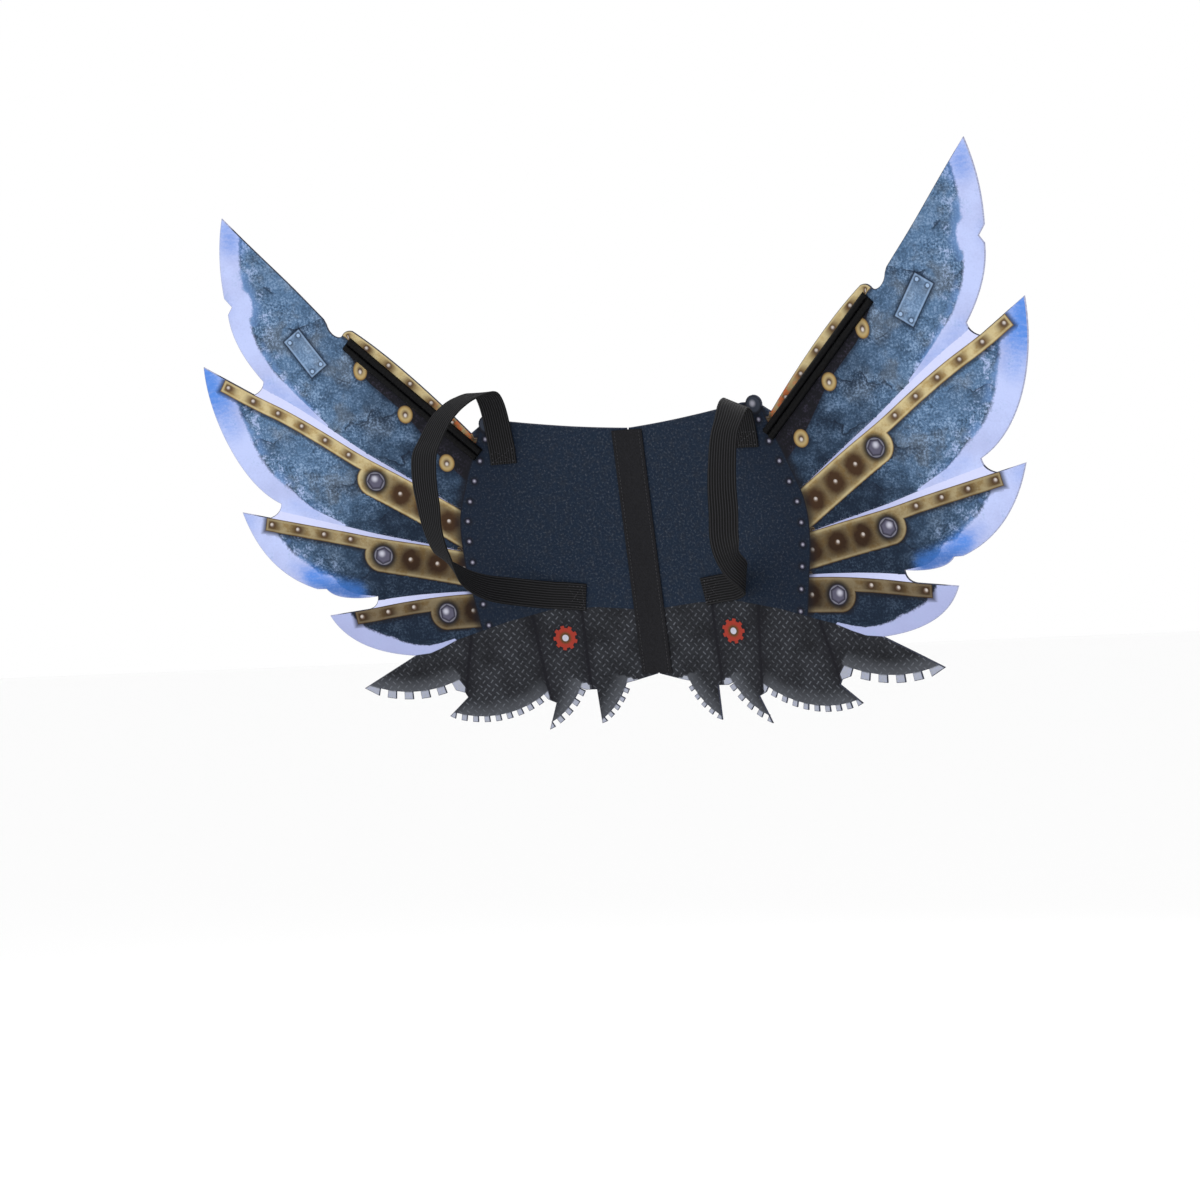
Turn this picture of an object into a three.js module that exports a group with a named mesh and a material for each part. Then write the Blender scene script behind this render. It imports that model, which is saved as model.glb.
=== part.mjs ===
// Steampunk costume wings: two flat wings of printed felt, worn on the back by elastic straps.
// Millimetres, +Z up. +X is the wearer's left, and the wearer faces -Y.
// The origin is on the centre line between the shoulder blades, on the front face of the felt.
// A wing's own plane is measured [out, up]: out from the centre line, up along it.

import * as THREE from 'three';

// How the wings sit on the back
const LEAN = THREE.MathUtils.degToRad(11.5); // the tops lean forward
const FOLD = THREE.MathUtils.degToRad(7.6); // each wing swings forward from the centre line
const FELT = 2; // thickness of the felt
const SEAM_HALF_GAP = 0.6; // from the centre line to each panel's inner edge
const LAYER_GAP = 0.3; // between layers that are sewn together
const CURVE_STEPS = 8; // straight pieces in each curve of an outline
const LOBE_STEPS = 6; // straight pieces over each rounded channel of a stay

// Inner part of the outline, from the centre line to the leading edge
const CENTRE_BOTTOM = -124;
const CENTRE_TOP = 56;
const NECK_EDGE = { via: [[46, 60]], to: [95, 69.5] };
const LUG = { centre: [105.2, 67.8], radius: 6.6, from: 165, until: -10, step: 17.5 };
const LUG_FOOT = [118.4, 62.3];
const LEADING_EDGE = { via: [[165, 118]], to: [199, 144.7] };
const CURL = { via: [[204.5, 146.5]], to: [207.5, 142] };
const CURL_NECK = { via: [[209.5, 139.5], [217, 142.5]], to: [218.3, 151.5] };

// Blades from the top: root and tip of the straight edge, then the honed edge from the tip to the
// heel in runs (via holds a curve's control points), and the control point of the web below.
const BLADES = [
  {
    root: [220, 155.5],
    tip: [287.6, 236.4],
    edge: [
      { via: [[297, 209]], to: [295.5, 178] },
      { via: [], to: [290.5, 171.2] },
      { via: [], to: [294.3, 166] },
      { via: [[294.6, 142]], to: [274.5, 114.3] },
    ],
    web: [275.5, 108],
  },
  {
    root: [283.2, 105.4],
    tip: [319.4, 129.6],
    edge: [{ via: [[322, 95], [308, 41]], to: [274.5, 22.8] }],
    web: [275.5, 15.5],
  },
  {
    root: [284.8, 13.1],
    tip: [306.6, 18.7],
    edge: [
      { via: [[294.4, -27]], to: [254.5, -42.9] },
      { via: [], to: [247.3, -43.4] },
      { via: [[243.5, -49]], to: [233.5, -51] },
      { via: [[222, -53.3]], to: [208.2, -52] },
    ],
    web: [208.6, -59.5],
  },
  {
    root: [216.4, -61],
    tip: [247.9, -63.6],
    edge: [{ via: [[235, -93]], to: [187, -98.5] }],
    web: [186, -98.5],
  },
];

// Saw fans from the outside in. A fan has a straight edge from root to tip, then teeth on a rim
// round a centre. Angles are degrees from straight down, positive outwards. The web is the
// plain edge that leads to the next fan.
const FANS = [
  {
    root: [185.5, -98.6], tip: [229.8, -120.9], centre: [190, -30], rim: 101.5, depth: 5.7,
    first: 12.8, pitch: 7.8, tooth: 4.1, teeth: 4, end: -18.6, web: [[157, -126.5], [150, -128.7]],
  },
  {
    root: [148.2, -132.2], tip: [164.4, -145.6], centre: [134, -67], rim: 85, depth: 4.5,
    first: 14.9, pitch: 6.1, tooth: 3, teeth: 8, end: -33.5, web: [[87, -138]],
  },
  {
    root: [81, -141], tip: [89, -161], centre: [115, -100], rim: 66.6, depth: 4.4,
    first: -31.4, pitch: 8.1, tooth: 4.1, teeth: 4, end: -60.2, web: [[56.9, -132.6]],
  },
  {
    root: [48.5, -132.8], tip: [47.9, -158.5], centre: [80, -105], rim: 63.5, depth: 3.6,
    first: -38.6, pitch: 6.9, tooth: 3.4, teeth: 4, end: -66, web: [[18, -128]],
  },
];

// Stay: a sewn sleeve of two rounded channels along the leading edge
const STAY = { top: [204.4, 136.2], foot: [114.5, 46], width: 10.5, base: 1.2, rise: 3.2 };

// Shoulder strap: flat elastic, sewn to the front of the wing at both ends
const STRAP_WIDTH = 20;
const STRAP_THICK = 1.5;
const STRAP_STEPS = 64;
// Sewn ends, as places on the wing. The band lifts off the felt by lift where it leaves.
const TOP_TAB = [
  { out: 96, up: 38, lift: 0 },
  { out: 96, up: 46, lift: 0 },
  { out: 96, up: 53, lift: 0.9 },
];
const LOW_TAB = [
  { out: 73, up: -60, lift: 2.4 },
  { out: 64, up: -61.4, lift: 0.7 },
  { out: 56, up: -62.6, lift: 0 },
  { out: 47, up: -64, lift: 0 },
];
// Free part of the strap: its middle, the direction across it towards its outer edge, how far the
// left strap leans outwards there, and how much higher the right strap lies
const STRAP_LOOP = [
  { at: [98.5, -37, 59.5], across: [1, -0.05, 0], lean: -0.36, right: 24 },
  { at: [105, -58, 62.5], across: [1, 0, 0], lean: -0.45, right: 18.5 },
  { at: [111, -80, 59.5], across: [1, 0.05, 0], lean: -0.35, right: 8.5 },
  { at: [114.5, -95.5, 50.5], across: [1, 0.05, 0], lean: -0.12, right: -0.5 },
  { at: [114.5, -105, 39], across: [1, 0, 0], lean: 0, right: 0 },
  { at: [113.5, -108, 21], across: [1, 0.05, 0], lean: 0, right: 0 },
  { at: [112, -106.5, 4], across: [1, 0.15, 0], lean: 0, right: 0 },
  { at: [111, -103.5, -13], across: [0.93, 0.38, 0], lean: 0, right: 0 },
  { at: [108, -97, -30], across: [0.85, 0.5, 0.1], lean: 0, right: 0 },
  { at: [104, -79, -45], across: [0.4, 0.5, 0.7], lean: 0, right: 0 },
  { at: [100, -50, -54], across: [0.25, 0.1, 0.95], lean: 0, right: 0 },
  { at: [90, -22, -58], across: [0.1, -0.1, 1], lean: 0, right: 0 },
];

// Tape over the centre seam
const TAPE = { half: 12, thick: 1.2, bottom: -123, top: 55 };

const X_AXIS = new THREE.Vector3(1, 0, 0);
const Z_AXIS = new THREE.Vector3(0, 0, 1);

const FINISH = {
  felt: { color: 0x4a6a8c, roughness: 0.85, metalness: 0 },
  sleeve: { color: 0x0c0c0e, roughness: 0.6, metalness: 0 },
  elastic: { color: 0x141416, roughness: 0.75, metalness: 0 },
  tape: { color: 0x18181a, roughness: 0.9, metalness: 0 },
};

function piece(name, geometry, finish) {
  const mesh = new THREE.Mesh(geometry, new THREE.MeshStandardMaterial(FINISH[finish]));
  mesh.name = name;
  return mesh;
}

function polar([out, up], radius, degrees) {
  const angle = THREE.MathUtils.degToRad(degrees);
  return [out + radius * Math.sin(angle), up - radius * Math.cos(angle)];
}

// A pen that draws one wing's outline, mirrored for the other side
function wingPen(side) {
  const shape = new THREE.Shape();
  const flip = ([out, up]) => [side * out, up];
  return {
    shape,
    start: (point) => shape.moveTo(...flip(point)),
    line: (point) => shape.lineTo(...flip(point)),
    run({ via, to }) {
      const points = [...via, to].flatMap(flip);
      if (via.length === 2) shape.bezierCurveTo(...points);
      if (via.length === 1) shape.quadraticCurveTo(...points);
      if (via.length === 0) shape.lineTo(...points);
    },
  };
}

function drawFan(pen, fan) {
  const onRim = (degrees) => polar(fan.centre, fan.rim, degrees);
  const onFloor = (degrees) => polar(fan.centre, fan.rim - fan.depth, degrees);
  const tipEnd = fan.first + fan.pitch - fan.tooth;
  [fan.root, fan.tip, onRim(tipEnd), onFloor(tipEnd)].forEach(pen.line);
  for (let i = 0; i < fan.teeth; i += 1) {
    const from = fan.first - i * fan.pitch;
    const to = from - fan.tooth;
    [onFloor(from), onRim(from), onRim(to), onFloor(to)].forEach(pen.line);
  }
  [onFloor(fan.end), ...fan.web].forEach(pen.line);
}

function wingOutline(side) {
  const pen = wingPen(side);
  pen.start([SEAM_HALF_GAP, CENTRE_BOTTOM]);
  pen.line([SEAM_HALF_GAP, CENTRE_TOP]);
  pen.run(NECK_EDGE);
  for (let turn = LUG.from; turn >= LUG.until; turn -= LUG.step) {
    pen.line(polar(LUG.centre, LUG.radius, turn + 90));
  }
  pen.line(LUG_FOOT);
  [LEADING_EDGE, CURL, CURL_NECK].forEach(pen.run);
  for (const blade of BLADES) {
    pen.line(blade.root);
    pen.line(blade.tip);
    blade.edge.forEach(pen.run);
    const next = BLADES[BLADES.indexOf(blade) + 1] ?? FANS[0];
    pen.run({ via: [blade.web], to: next.root });
  }
  FANS.forEach((fan) => drawFan(pen, fan));
  return pen.shape;
}

// The outline, extruded back from the front face
function wingPanel(name, side) {
  const options = { depth: FELT, bevelEnabled: false, curveSegments: CURVE_STEPS };
  const geometry = new THREE.ExtrudeGeometry(wingOutline(side), options);
  geometry.rotateX(Math.PI / 2);
  geometry.translate(0, FELT, 0);
  return piece(name, geometry, 'felt');
}

function stay(name, side) {
  const lobe = STAY.width / 4;
  const section = new THREE.Shape();
  section.moveTo(-2 * lobe, 0);
  section.lineTo(-2 * lobe, STAY.base);
  section.absellipse(-lobe, STAY.base, lobe, STAY.rise, Math.PI, 0, true);
  section.absellipse(lobe, STAY.base, lobe, STAY.rise, Math.PI, 0, true);
  section.lineTo(2 * lobe, 0);
  const run = new THREE.Vector2(...STAY.top).sub(new THREE.Vector2(...STAY.foot));
  const options = { depth: run.length(), bevelEnabled: false, curveSegments: LOBE_STEPS };
  const geometry = new THREE.ExtrudeGeometry(section, options);
  geometry.rotateZ(Math.PI);
  geometry.rotateY(side * (Math.PI / 2 - run.angle()));
  const mesh = piece(name, geometry, 'sleeve');
  mesh.position.set(side * STAY.foot[0], -LAYER_GAP, STAY.foot[1]);
  return mesh;
}

// From a wing's own plane to the object's frame
function worn(out, forward, up) {
  const point = new THREE.Vector3(out, -forward, up);
  return point.applyAxisAngle(Z_AXIS, -FOLD).applyAxisAngle(X_AXIS, LEAN);
}

function strapStations(side) {
  const proud = LAYER_GAP + STRAP_THICK / 2;
  const sewn = (across) => ({ out, up, lift }) => ({ at: worn(out, proud + lift, up), across });
  const free = ({ at: [out, depth, up], across: [x, y, z], lean, right }) => ({
    at: new THREE.Vector3(out, depth, side < 0 ? up + right : up),
    across: new THREE.Vector3(x, y, side < 0 ? z : z + lean),
  });
  return [
    ...TOP_TAB.map(sewn(worn(1, 0, 0))),
    ...STRAP_LOOP.map(free),
    ...LOW_TAB.map(sewn(worn(0, 0, 1))),
  ];
}

// A flat band through the stations: four corners at each step, joined by walls, with two ends
function strap(name, side) {
  const stations = strapStations(side);
  const middle = new THREE.CatmullRomCurve3(stations.map((station) => station.at));
  const lie = new THREE.CatmullRomCurve3(stations.map((station) => station.across));
  const corners = [];
  for (let step = 0; step <= STRAP_STEPS; step += 1) {
    const t = step / STRAP_STEPS;
    const at = middle.getPoint(t);
    const along = middle.getTangent(t);
    const face = lie.getPoint(t).cross(along).normalize();
    const across = along.clone().cross(face);
    for (const [wide, thick] of [[-1, -1], [1, -1], [1, 1], [-1, 1]]) {
      const corner = at.clone();
      corner.addScaledVector(across, wide * STRAP_WIDTH / 2);
      corner.addScaledVector(face, thick * STRAP_THICK / 2);
      corners.push(side * corner.x, corner.y, corner.z);
    }
  }
  const faces = [];
  const quad = (a, b, c, d) => (side > 0
    ? faces.push(a, c, b, a, d, c)
    : faces.push(a, b, c, a, c, d));
  for (let step = 0; step < STRAP_STEPS; step += 1) {
    for (let edge = 0; edge < 4; edge += 1) {
      const here = 4 * step + edge;
      const beside = 4 * step + ((edge + 1) % 4);
      quad(here, beside, beside + 4, here + 4);
    }
  }
  const last = 4 * STRAP_STEPS;
  quad(3, 2, 1, 0);
  quad(last, last + 1, last + 2, last + 3);
  const geometry = new THREE.BufferGeometry();
  geometry.setAttribute('position', new THREE.Float32BufferAttribute(corners, 3));
  geometry.setIndex(faces);
  geometry.computeVertexNormals();
  return piece(name, geometry, 'elastic');
}

// A shallow V in section, lying on both panels
function backTape() {
  const seam = new THREE.Vector2();
  const flank = (out, forward) => new THREE.Vector2(out, -forward).rotateAround(seam, -FOLD);
  const back = LAYER_GAP;
  const front = LAYER_GAP + TAPE.thick;
  const half = [
    new THREE.Vector2(0, -back / Math.cos(FOLD)),
    flank(TAPE.half, back),
    flank(TAPE.half, front),
    new THREE.Vector2(0, -front / Math.cos(FOLD)),
  ];
  const mirrored = [half[2], half[1]].map(({ x, y }) => new THREE.Vector2(-x, y));
  const section = new THREE.Shape([...half, ...mirrored]);
  const options = { depth: TAPE.top - TAPE.bottom, bevelEnabled: false };
  const mesh = piece('back_tape', new THREE.ExtrudeGeometry(section, options), 'tape');
  mesh.position.z = TAPE.bottom;
  return mesh;
}

const wings = new THREE.Group();
const back = new THREE.Group();
back.rotation.x = LEAN;
wings.add(back);
for (const [hand, side] of [['left', 1], ['right', -1]]) {
  const wing = new THREE.Group();
  wing.rotation.z = -side * FOLD;
  wing.add(wingPanel(`${hand}_wing_panel`, side), stay(`${hand}_stay`, side));
  back.add(wing);
  wings.add(strap(`${hand}_strap`, side));
}
back.add(backTape());

export default wings;
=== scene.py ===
# %% [markdown]
# # Steampunk costume wings
# Two flat wings of printed felt are joined down the middle of the back. A stiff sleeve along each
# leading edge keeps the wing spread, and two loops of ribbed elastic go round the shoulders.
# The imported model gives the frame: every piece below is built where its solid is, in metres.

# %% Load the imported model
import math

import bpy
import numpy as np
from mathutils import Matrix, Vector
from mathutils.geometry import delaunay_2d_cdt


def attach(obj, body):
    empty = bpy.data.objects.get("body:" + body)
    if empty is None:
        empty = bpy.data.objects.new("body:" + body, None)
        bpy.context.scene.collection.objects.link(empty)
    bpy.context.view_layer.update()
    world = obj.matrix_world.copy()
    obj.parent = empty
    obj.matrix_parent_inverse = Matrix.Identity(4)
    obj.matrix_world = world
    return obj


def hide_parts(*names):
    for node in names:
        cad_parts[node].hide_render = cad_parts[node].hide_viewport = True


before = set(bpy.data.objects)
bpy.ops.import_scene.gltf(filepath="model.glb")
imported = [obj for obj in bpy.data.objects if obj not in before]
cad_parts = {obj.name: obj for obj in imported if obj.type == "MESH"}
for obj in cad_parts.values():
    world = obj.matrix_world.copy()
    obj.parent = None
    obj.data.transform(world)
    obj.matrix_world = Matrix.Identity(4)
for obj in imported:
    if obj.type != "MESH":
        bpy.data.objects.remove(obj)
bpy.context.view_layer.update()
MM = 0.001
SIDES = {"left": 1, "right": -1}
print("nodes:", sorted(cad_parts))

# %% [markdown]
# ## Camera
# A camera is placed by its position and the three directions of its picture: right, down and
# ahead. The picture is square and 1200 pixels wide, so a focal length in pixels becomes a lens in
# millimetres through the width of the sensor. No shift and no depth of field are needed.

# %% Camera at the viewing angle of the picture
PICTURE_WIDTH = 1200
FOCAL_PIXELS = 3194.44
SENSOR_WIDTH = 36.0
CAMERA_AT = Vector((955.75, -2076.61, -92.78)) * MM
CAMERA_YAW = math.radians(-25.454)
CAMERA_PITCH = math.radians(-0.651)
CAMERA_ROLL = math.radians(2.418)


def camera_matrix():
    """The camera's place and turn, from its yaw, pitch and roll."""
    level = math.cos(CAMERA_PITCH)
    ahead = Vector(
        (math.sin(CAMERA_YAW) * level, math.cos(CAMERA_YAW) * level, -math.sin(CAMERA_PITCH))
    )
    flat_right = Vector((math.cos(CAMERA_YAW), -math.sin(CAMERA_YAW), 0))
    flat_down = ahead.cross(flat_right)
    right = flat_right * math.cos(CAMERA_ROLL) + flat_down * math.sin(CAMERA_ROLL)
    down = flat_down * math.cos(CAMERA_ROLL) - flat_right * math.sin(CAMERA_ROLL)
    columns = Matrix((right, -down, -ahead)).transposed()
    return Matrix.Translation(CAMERA_AT) @ columns.to_4x4()


camera = bpy.data.objects.new("camera", bpy.data.cameras.new("camera"))
bpy.context.collection.objects.link(camera)
camera.matrix_world = camera_matrix()
camera.data.sensor_width = SENSOR_WIDTH
camera.data.lens = FOCAL_PIXELS * SENSOR_WIDTH / PICTURE_WIDTH
bpy.context.scene.camera = camera
print("lens:", round(camera.data.lens, 2), "mm")

# %% [markdown]
# ## Floor and light
# The picture has a white studio round the wings, so the world is white and lights them evenly.
# Two large soft lamps in front and one behind add a little shape without hard shadows. The wings
# are worn, so the floor is well below them.

# %% Pale floor, white surround and soft lamps
FLOOR_DROP = 0.62
FLOOR_HALF = 80.0
FLOOR_WHITE = (0.97, 0.97, 0.97, 1)
FLOOR_ROUGHNESS = 0.9
LAMPS = [
    {"name": "key", "at": (-0.9, -2.2, 1.5), "size": 1.6, "watts": 9},
    {"name": "fill", "at": (1.6, -1.9, 0.7), "size": 1.8, "watts": 5},
    {"name": "rear", "at": (0.3, 2.3, 1.3), "size": 2.0, "watts": 12},
]


def white_surround(strength):
    """A plain white world."""
    world = bpy.data.worlds.new("studio")
    world.use_nodes = True
    background = world.node_tree.nodes["Background"]
    background.inputs["Color"].default_value = (1, 1, 1, 1)
    background.inputs["Strength"].default_value = strength
    bpy.context.scene.world = world


def soft_lamp(name, at, size, watts):
    """A square area lamp that faces the wings."""
    data = bpy.data.lights.new(name, "AREA")
    data.size = size
    data.energy = watts
    lamp = bpy.data.objects.new(name, data)
    lamp.location = at
    lamp.rotation_euler = (-Vector(at)).to_track_quat("-Z", "Y").to_euler()
    bpy.context.collection.objects.link(lamp)


def pale_floor():
    """One large square below the wings."""
    turns = ((-1, -1), (1, -1), (1, 1), (-1, 1))
    corners = [(x * FLOOR_HALF, y * FLOOR_HALF, -FLOOR_DROP) for x, y in turns]
    mesh = bpy.data.meshes.new("floor")
    mesh.from_pydata(corners, [], [(0, 1, 2, 3)])
    floor = bpy.data.objects.new("floor", mesh)
    bpy.context.collection.objects.link(floor)
    paint = bpy.data.materials.new("pale floor")
    paint.use_nodes = True
    shader = paint.node_tree.nodes["Principled BSDF"]
    shader.inputs["Base Color"].default_value = FLOOR_WHITE
    shader.inputs["Roughness"].default_value = FLOOR_ROUGHNESS
    mesh.materials.append(paint)


white_surround(strength=1.0)
for lamp in LAMPS:
    soft_lamp(**lamp)
pale_floor()
bpy.context.scene.view_settings.view_transform = "Standard"
print("lamps:", [lamp["name"] for lamp in LAMPS])

# %% [markdown]
# ## The wing's own plane
# Each wing is flat, so it is drawn on its own plane as [out, up] in millimetres: out from the
# centre line and up along it. One function then folds the wing forward about the centre line and
# leans it forward, as it sits on the back. The right wing is the left one mirrored.

# %% From the wing's plane to the object's frame
LEAN = math.radians(11.5)
FOLD = math.radians(7.6)
FELT = 2.0
LAYER_GAP = 0.3


def worn(out, forward, up):
    """Millimetres on the wing's plane, as points of the left wing in metres."""
    out, forward, up = np.broadcast_arrays(*(np.asarray(v, float) for v in (out, forward, up)))
    x = out * math.cos(FOLD) - forward * math.sin(FOLD)
    y = -out * math.sin(FOLD) - forward * math.cos(FOLD)
    z = up * math.cos(LEAN) + y * math.sin(LEAN)
    y = y * math.cos(LEAN) - up * math.sin(LEAN)
    return np.stack([x, y, z], axis=-1) * MM


def mirrored(points, side):
    """Points of the left wing, on either wing."""
    return points * np.array([side, 1, 1])


print("100 mm out on the left wing, in metres:", worn(100, 0, 0).round(4))

# %% [markdown]
# ## Outline of a wing
# Felt is die cut, so the outline is a flat drawing: a neck edge, a small round lug, a leading edge
# with a curl at its end, four blades and four saw fans. Curves are Bezier runs. The fans are
# toothed arcs, so their points come from an angle and a radius in a loop.

# %% The same named values as the solids
SEAM_HALF_GAP = 0.6
CENTRE_BOTTOM = -124
CENTRE_TOP = 56
NECK_EDGE = {"via": [(46, 60)], "to": (95, 69.5)}
LUG = {"centre": (105.2, 67.8), "radius": 6.6, "from": 165, "until": -10, "step": 17.5}
LUG_FOOT = (118.4, 62.3)
LEADING_EDGE = {"via": [(165, 118)], "to": (199, 144.7)}
CURL = {"via": [(204.5, 146.5)], "to": (207.5, 142)}
CURL_NECK = {"via": [(209.5, 139.5), (217, 142.5)], "to": (218.3, 151.5)}
BLADES = [
    {
        "root": (220, 155.5),
        "tip": (287.6, 236.4),
        "edge": [
            {"via": [(297, 209)], "to": (295.5, 178)},
            {"via": [], "to": (290.5, 171.2)},
            {"via": [], "to": (294.3, 166)},
            {"via": [(294.6, 142)], "to": (274.5, 114.3)},
        ],
        "web": (275.5, 108),
    },
    {
        "root": (283.2, 105.4),
        "tip": (319.4, 129.6),
        "edge": [{"via": [(322, 95), (308, 41)], "to": (274.5, 22.8)}],
        "web": (275.5, 15.5),
    },
    {
        "root": (284.8, 13.1),
        "tip": (306.6, 18.7),
        "edge": [
            {"via": [(294.4, -27)], "to": (254.5, -42.9)},
            {"via": [], "to": (247.3, -43.4)},
            {"via": [(243.5, -49)], "to": (233.5, -51)},
            {"via": [(222, -53.3)], "to": (208.2, -52)},
        ],
        "web": (208.6, -59.5),
    },
    {
        "root": (216.4, -61),
        "tip": (247.9, -63.6),
        "edge": [{"via": [(235, -93)], "to": (187, -98.5)}],
        "web": (186, -98.5),
    },
]
FANS = [
    {
        "root": (185.5, -98.6), "tip": (229.8, -120.9), "centre": (190, -30), "rim": 101.5,
        "depth": 5.7, "first": 12.8, "pitch": 7.8, "tooth": 4.1, "teeth": 4, "end": -18.6,
        "web": [(157, -126.5), (150, -128.7)],
    },
    {
        "root": (148.2, -132.2), "tip": (164.4, -145.6), "centre": (134, -67), "rim": 85,
        "depth": 4.5, "first": 14.9, "pitch": 6.1, "tooth": 3, "teeth": 8, "end": -33.5,
        "web": [(87, -138)],
    },
    {
        "root": (81, -141), "tip": (89, -161), "centre": (115, -100), "rim": 66.6,
        "depth": 4.4, "first": -31.4, "pitch": 8.1, "tooth": 4.1, "teeth": 4, "end": -60.2,
        "web": [(56.9, -132.6)],
    },
    {
        "root": (48.5, -132.8), "tip": (47.9, -158.5), "centre": (80, -105), "rim": 63.5,
        "depth": 3.6, "first": -38.6, "pitch": 6.9, "tooth": 3.4, "teeth": 4, "end": -66,
        "web": [(18, -128)],
    },
]
RIM_STEP = 1.6  # longest straight piece of the outline


def polar(centre, radius, degrees):
    """A point at an angle from straight down, positive outwards."""
    angle = math.radians(degrees)
    return (centre[0] + radius * math.sin(angle), centre[1] - radius * math.cos(angle))


def bezier(start, run):
    """Points along one run of an outline, after its start."""
    controls = [np.array(point, float) for point in (start, *run["via"], run["to"])]
    length = sum(np.linalg.norm(b - a) for a, b in zip(controls, controls[1:]))
    t = np.linspace(0, 1, max(2, math.ceil(length / RIM_STEP)) + 1)[1:, None]
    level = [control + 0 * t for control in controls]
    while len(level) > 1:
        level = [a + (b - a) * t for a, b in zip(level, level[1:])]
    return [tuple(point) for point in level[0]]


def fan_points(fan):
    """A fan's straight edge and its teeth, from its root to its web."""
    floor = fan["rim"] - fan["depth"]
    tip_end = fan["first"] + fan["pitch"] - fan["tooth"]
    points = [fan["root"], fan["tip"]]
    points += [polar(fan["centre"], r, tip_end) for r in (fan["rim"], floor)]
    for i in range(fan["teeth"]):
        start = fan["first"] - i * fan["pitch"]
        stop = start - fan["tooth"]
        for radius, angle in ((floor, start), (fan["rim"], start), (fan["rim"], stop), (floor, stop)):
            points.append(polar(fan["centre"], radius, angle))
    return points + [polar(fan["centre"], floor, fan["end"]), *fan["web"]]


def split_long(points):
    """A closed path with its long sides cut into pieces of at most RIM_STEP."""
    cut = []
    for a, b in zip(points, points[1:] + points[:1]):
        a, b = np.array(a, float), np.array(b, float)
        pieces = max(1, math.ceil(np.linalg.norm(b - a) / RIM_STEP))
        cut += [a + (b - a) * i / pieces for i in range(pieces)]
    return cut


def wing_outline():
    """The cut edge of the left wing, counter-clockwise, with no long straight piece."""
    points = [(SEAM_HALF_GAP, CENTRE_BOTTOM), (SEAM_HALF_GAP, CENTRE_TOP)]
    points += bezier(points[-1], NECK_EDGE)
    turns = np.arange(LUG["from"], LUG["until"] - LUG["step"] / 2, -LUG["step"])
    points += [polar(LUG["centre"], LUG["radius"], turn + 90) for turn in turns]
    points.append(LUG_FOOT)
    for run in (LEADING_EDGE, CURL, CURL_NECK):
        points += bezier(points[-1], run)
    next_roots = [blade["root"] for blade in BLADES[1:]] + [FANS[0]["root"]]
    for blade, next_root in zip(BLADES, next_roots):
        points += [blade["root"], blade["tip"]]
        for run in blade["edge"]:
            points += bezier(points[-1], run)
        points += bezier(points[-1], {"via": [blade["web"]], "to": next_root})[:-1]
    for fan in FANS:
        points += fan_points(fan)
    return np.array(split_long(points)[::-1])


outline = wing_outline()
print("outline points:", len(outline))

# %% [markdown]
# ## Distances on the wing
# The print follows the cut: a pale honed band runs along each blade, and brass strips run along
# the blades' upper edges. A shader can't find the distance to a curve, but Python can. So each
# point of the felt stores a few distances, and the shader only compares them with widths. The
# edges of the print stay sharp, because a distance changes evenly between two points.

# %% Distance to a path, place along it, and side of it
SAME = 1e-9  # distances closer than this count as equal


def path_field(points, path):
    """For each point: distance to a path, positive on its left, and length along it."""
    path = np.asarray(path, float)
    steps = np.diff(path, axis=0)
    lengths = np.hypot(*steps.T)
    starts = np.concatenate([[0], np.cumsum(lengths)])
    best = np.full(len(points), np.inf)
    signed = np.zeros(len(points))
    along = np.zeros(len(points))
    for i, (start, step, length) in enumerate(zip(path, steps, lengths)):
        offset = points - start
        share = offset @ step / length**2
        held = np.clip(share, 0, 1)
        gap = offset - held[:, None] * step
        distance = np.hypot(*gap.T)
        nearer = distance < best - SAME
        left = np.sign(step[0] * offset[:, 1] - step[1] * offset[:, 0])
        low = -np.inf if i == 0 else 0
        high = np.inf if i == len(steps) - 1 else 1
        best[nearer] = distance[nearer]
        signed[nearer] = (distance * left)[nearer]
        along[nearer] = (starts[i] + np.clip(share, low, high) * length)[nearer]
    return signed, along


def inside(points, ring):
    """True for points inside a closed ring."""
    count = np.zeros(len(points), int)
    for (ax, ay), (bx, by) in zip(ring, np.roll(ring, -1, axis=0)):
        spans = (points[:, 1] < ay) != (points[:, 1] < by)
        cross = ax + (points[:, 1] - ay) * (bx - ax) / (by - ay if by != ay else 1)
        count += spans & (points[:, 0] < cross)
    return count % 2 == 1


# %% [markdown]
# ## Felt panels
# A panel is one closed sheet, 2 mm thick. Its face is a net of even triangles inside the outline,
# which a Delaunay triangulation gives. The cut edge of felt is soft, so the face stops a little
# inside the outline and a small round takes it to the edge. Felt is never quite flat, so a slow
# ripple bends the free blades and leaves the sewn places alone.

# %% A net of triangles inside the outline
NET = 2.1  # side of a triangle
EDGE_ROUND = 0.45
MITRE_LIMIT = 2.0
RIM_CLEARANCE = 0.65  # share of a triangle's side that the net keeps from the ring
TRIANGLES_INSIDE = 1  # the triangulation keeps what is inside the ring
WELD = 1e-6


def inset(ring, by):
    """A counter-clockwise ring moved inwards."""
    before = ring - np.roll(ring, 1, axis=0)
    after = np.roll(ring, -1, axis=0) - ring
    normals = []
    for side in (before, after):
        side = side / np.hypot(*side.T)[:, None]
        normals.append(np.stack([-side[:, 1], side[:, 0]], axis=1))
    total = normals[0] + normals[1]
    square = np.maximum((total**2).sum(axis=1), WELD)
    reach = np.minimum(2 / square, MITRE_LIMIT / np.sqrt(square))
    return ring + total * reach[:, None] * by


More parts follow.
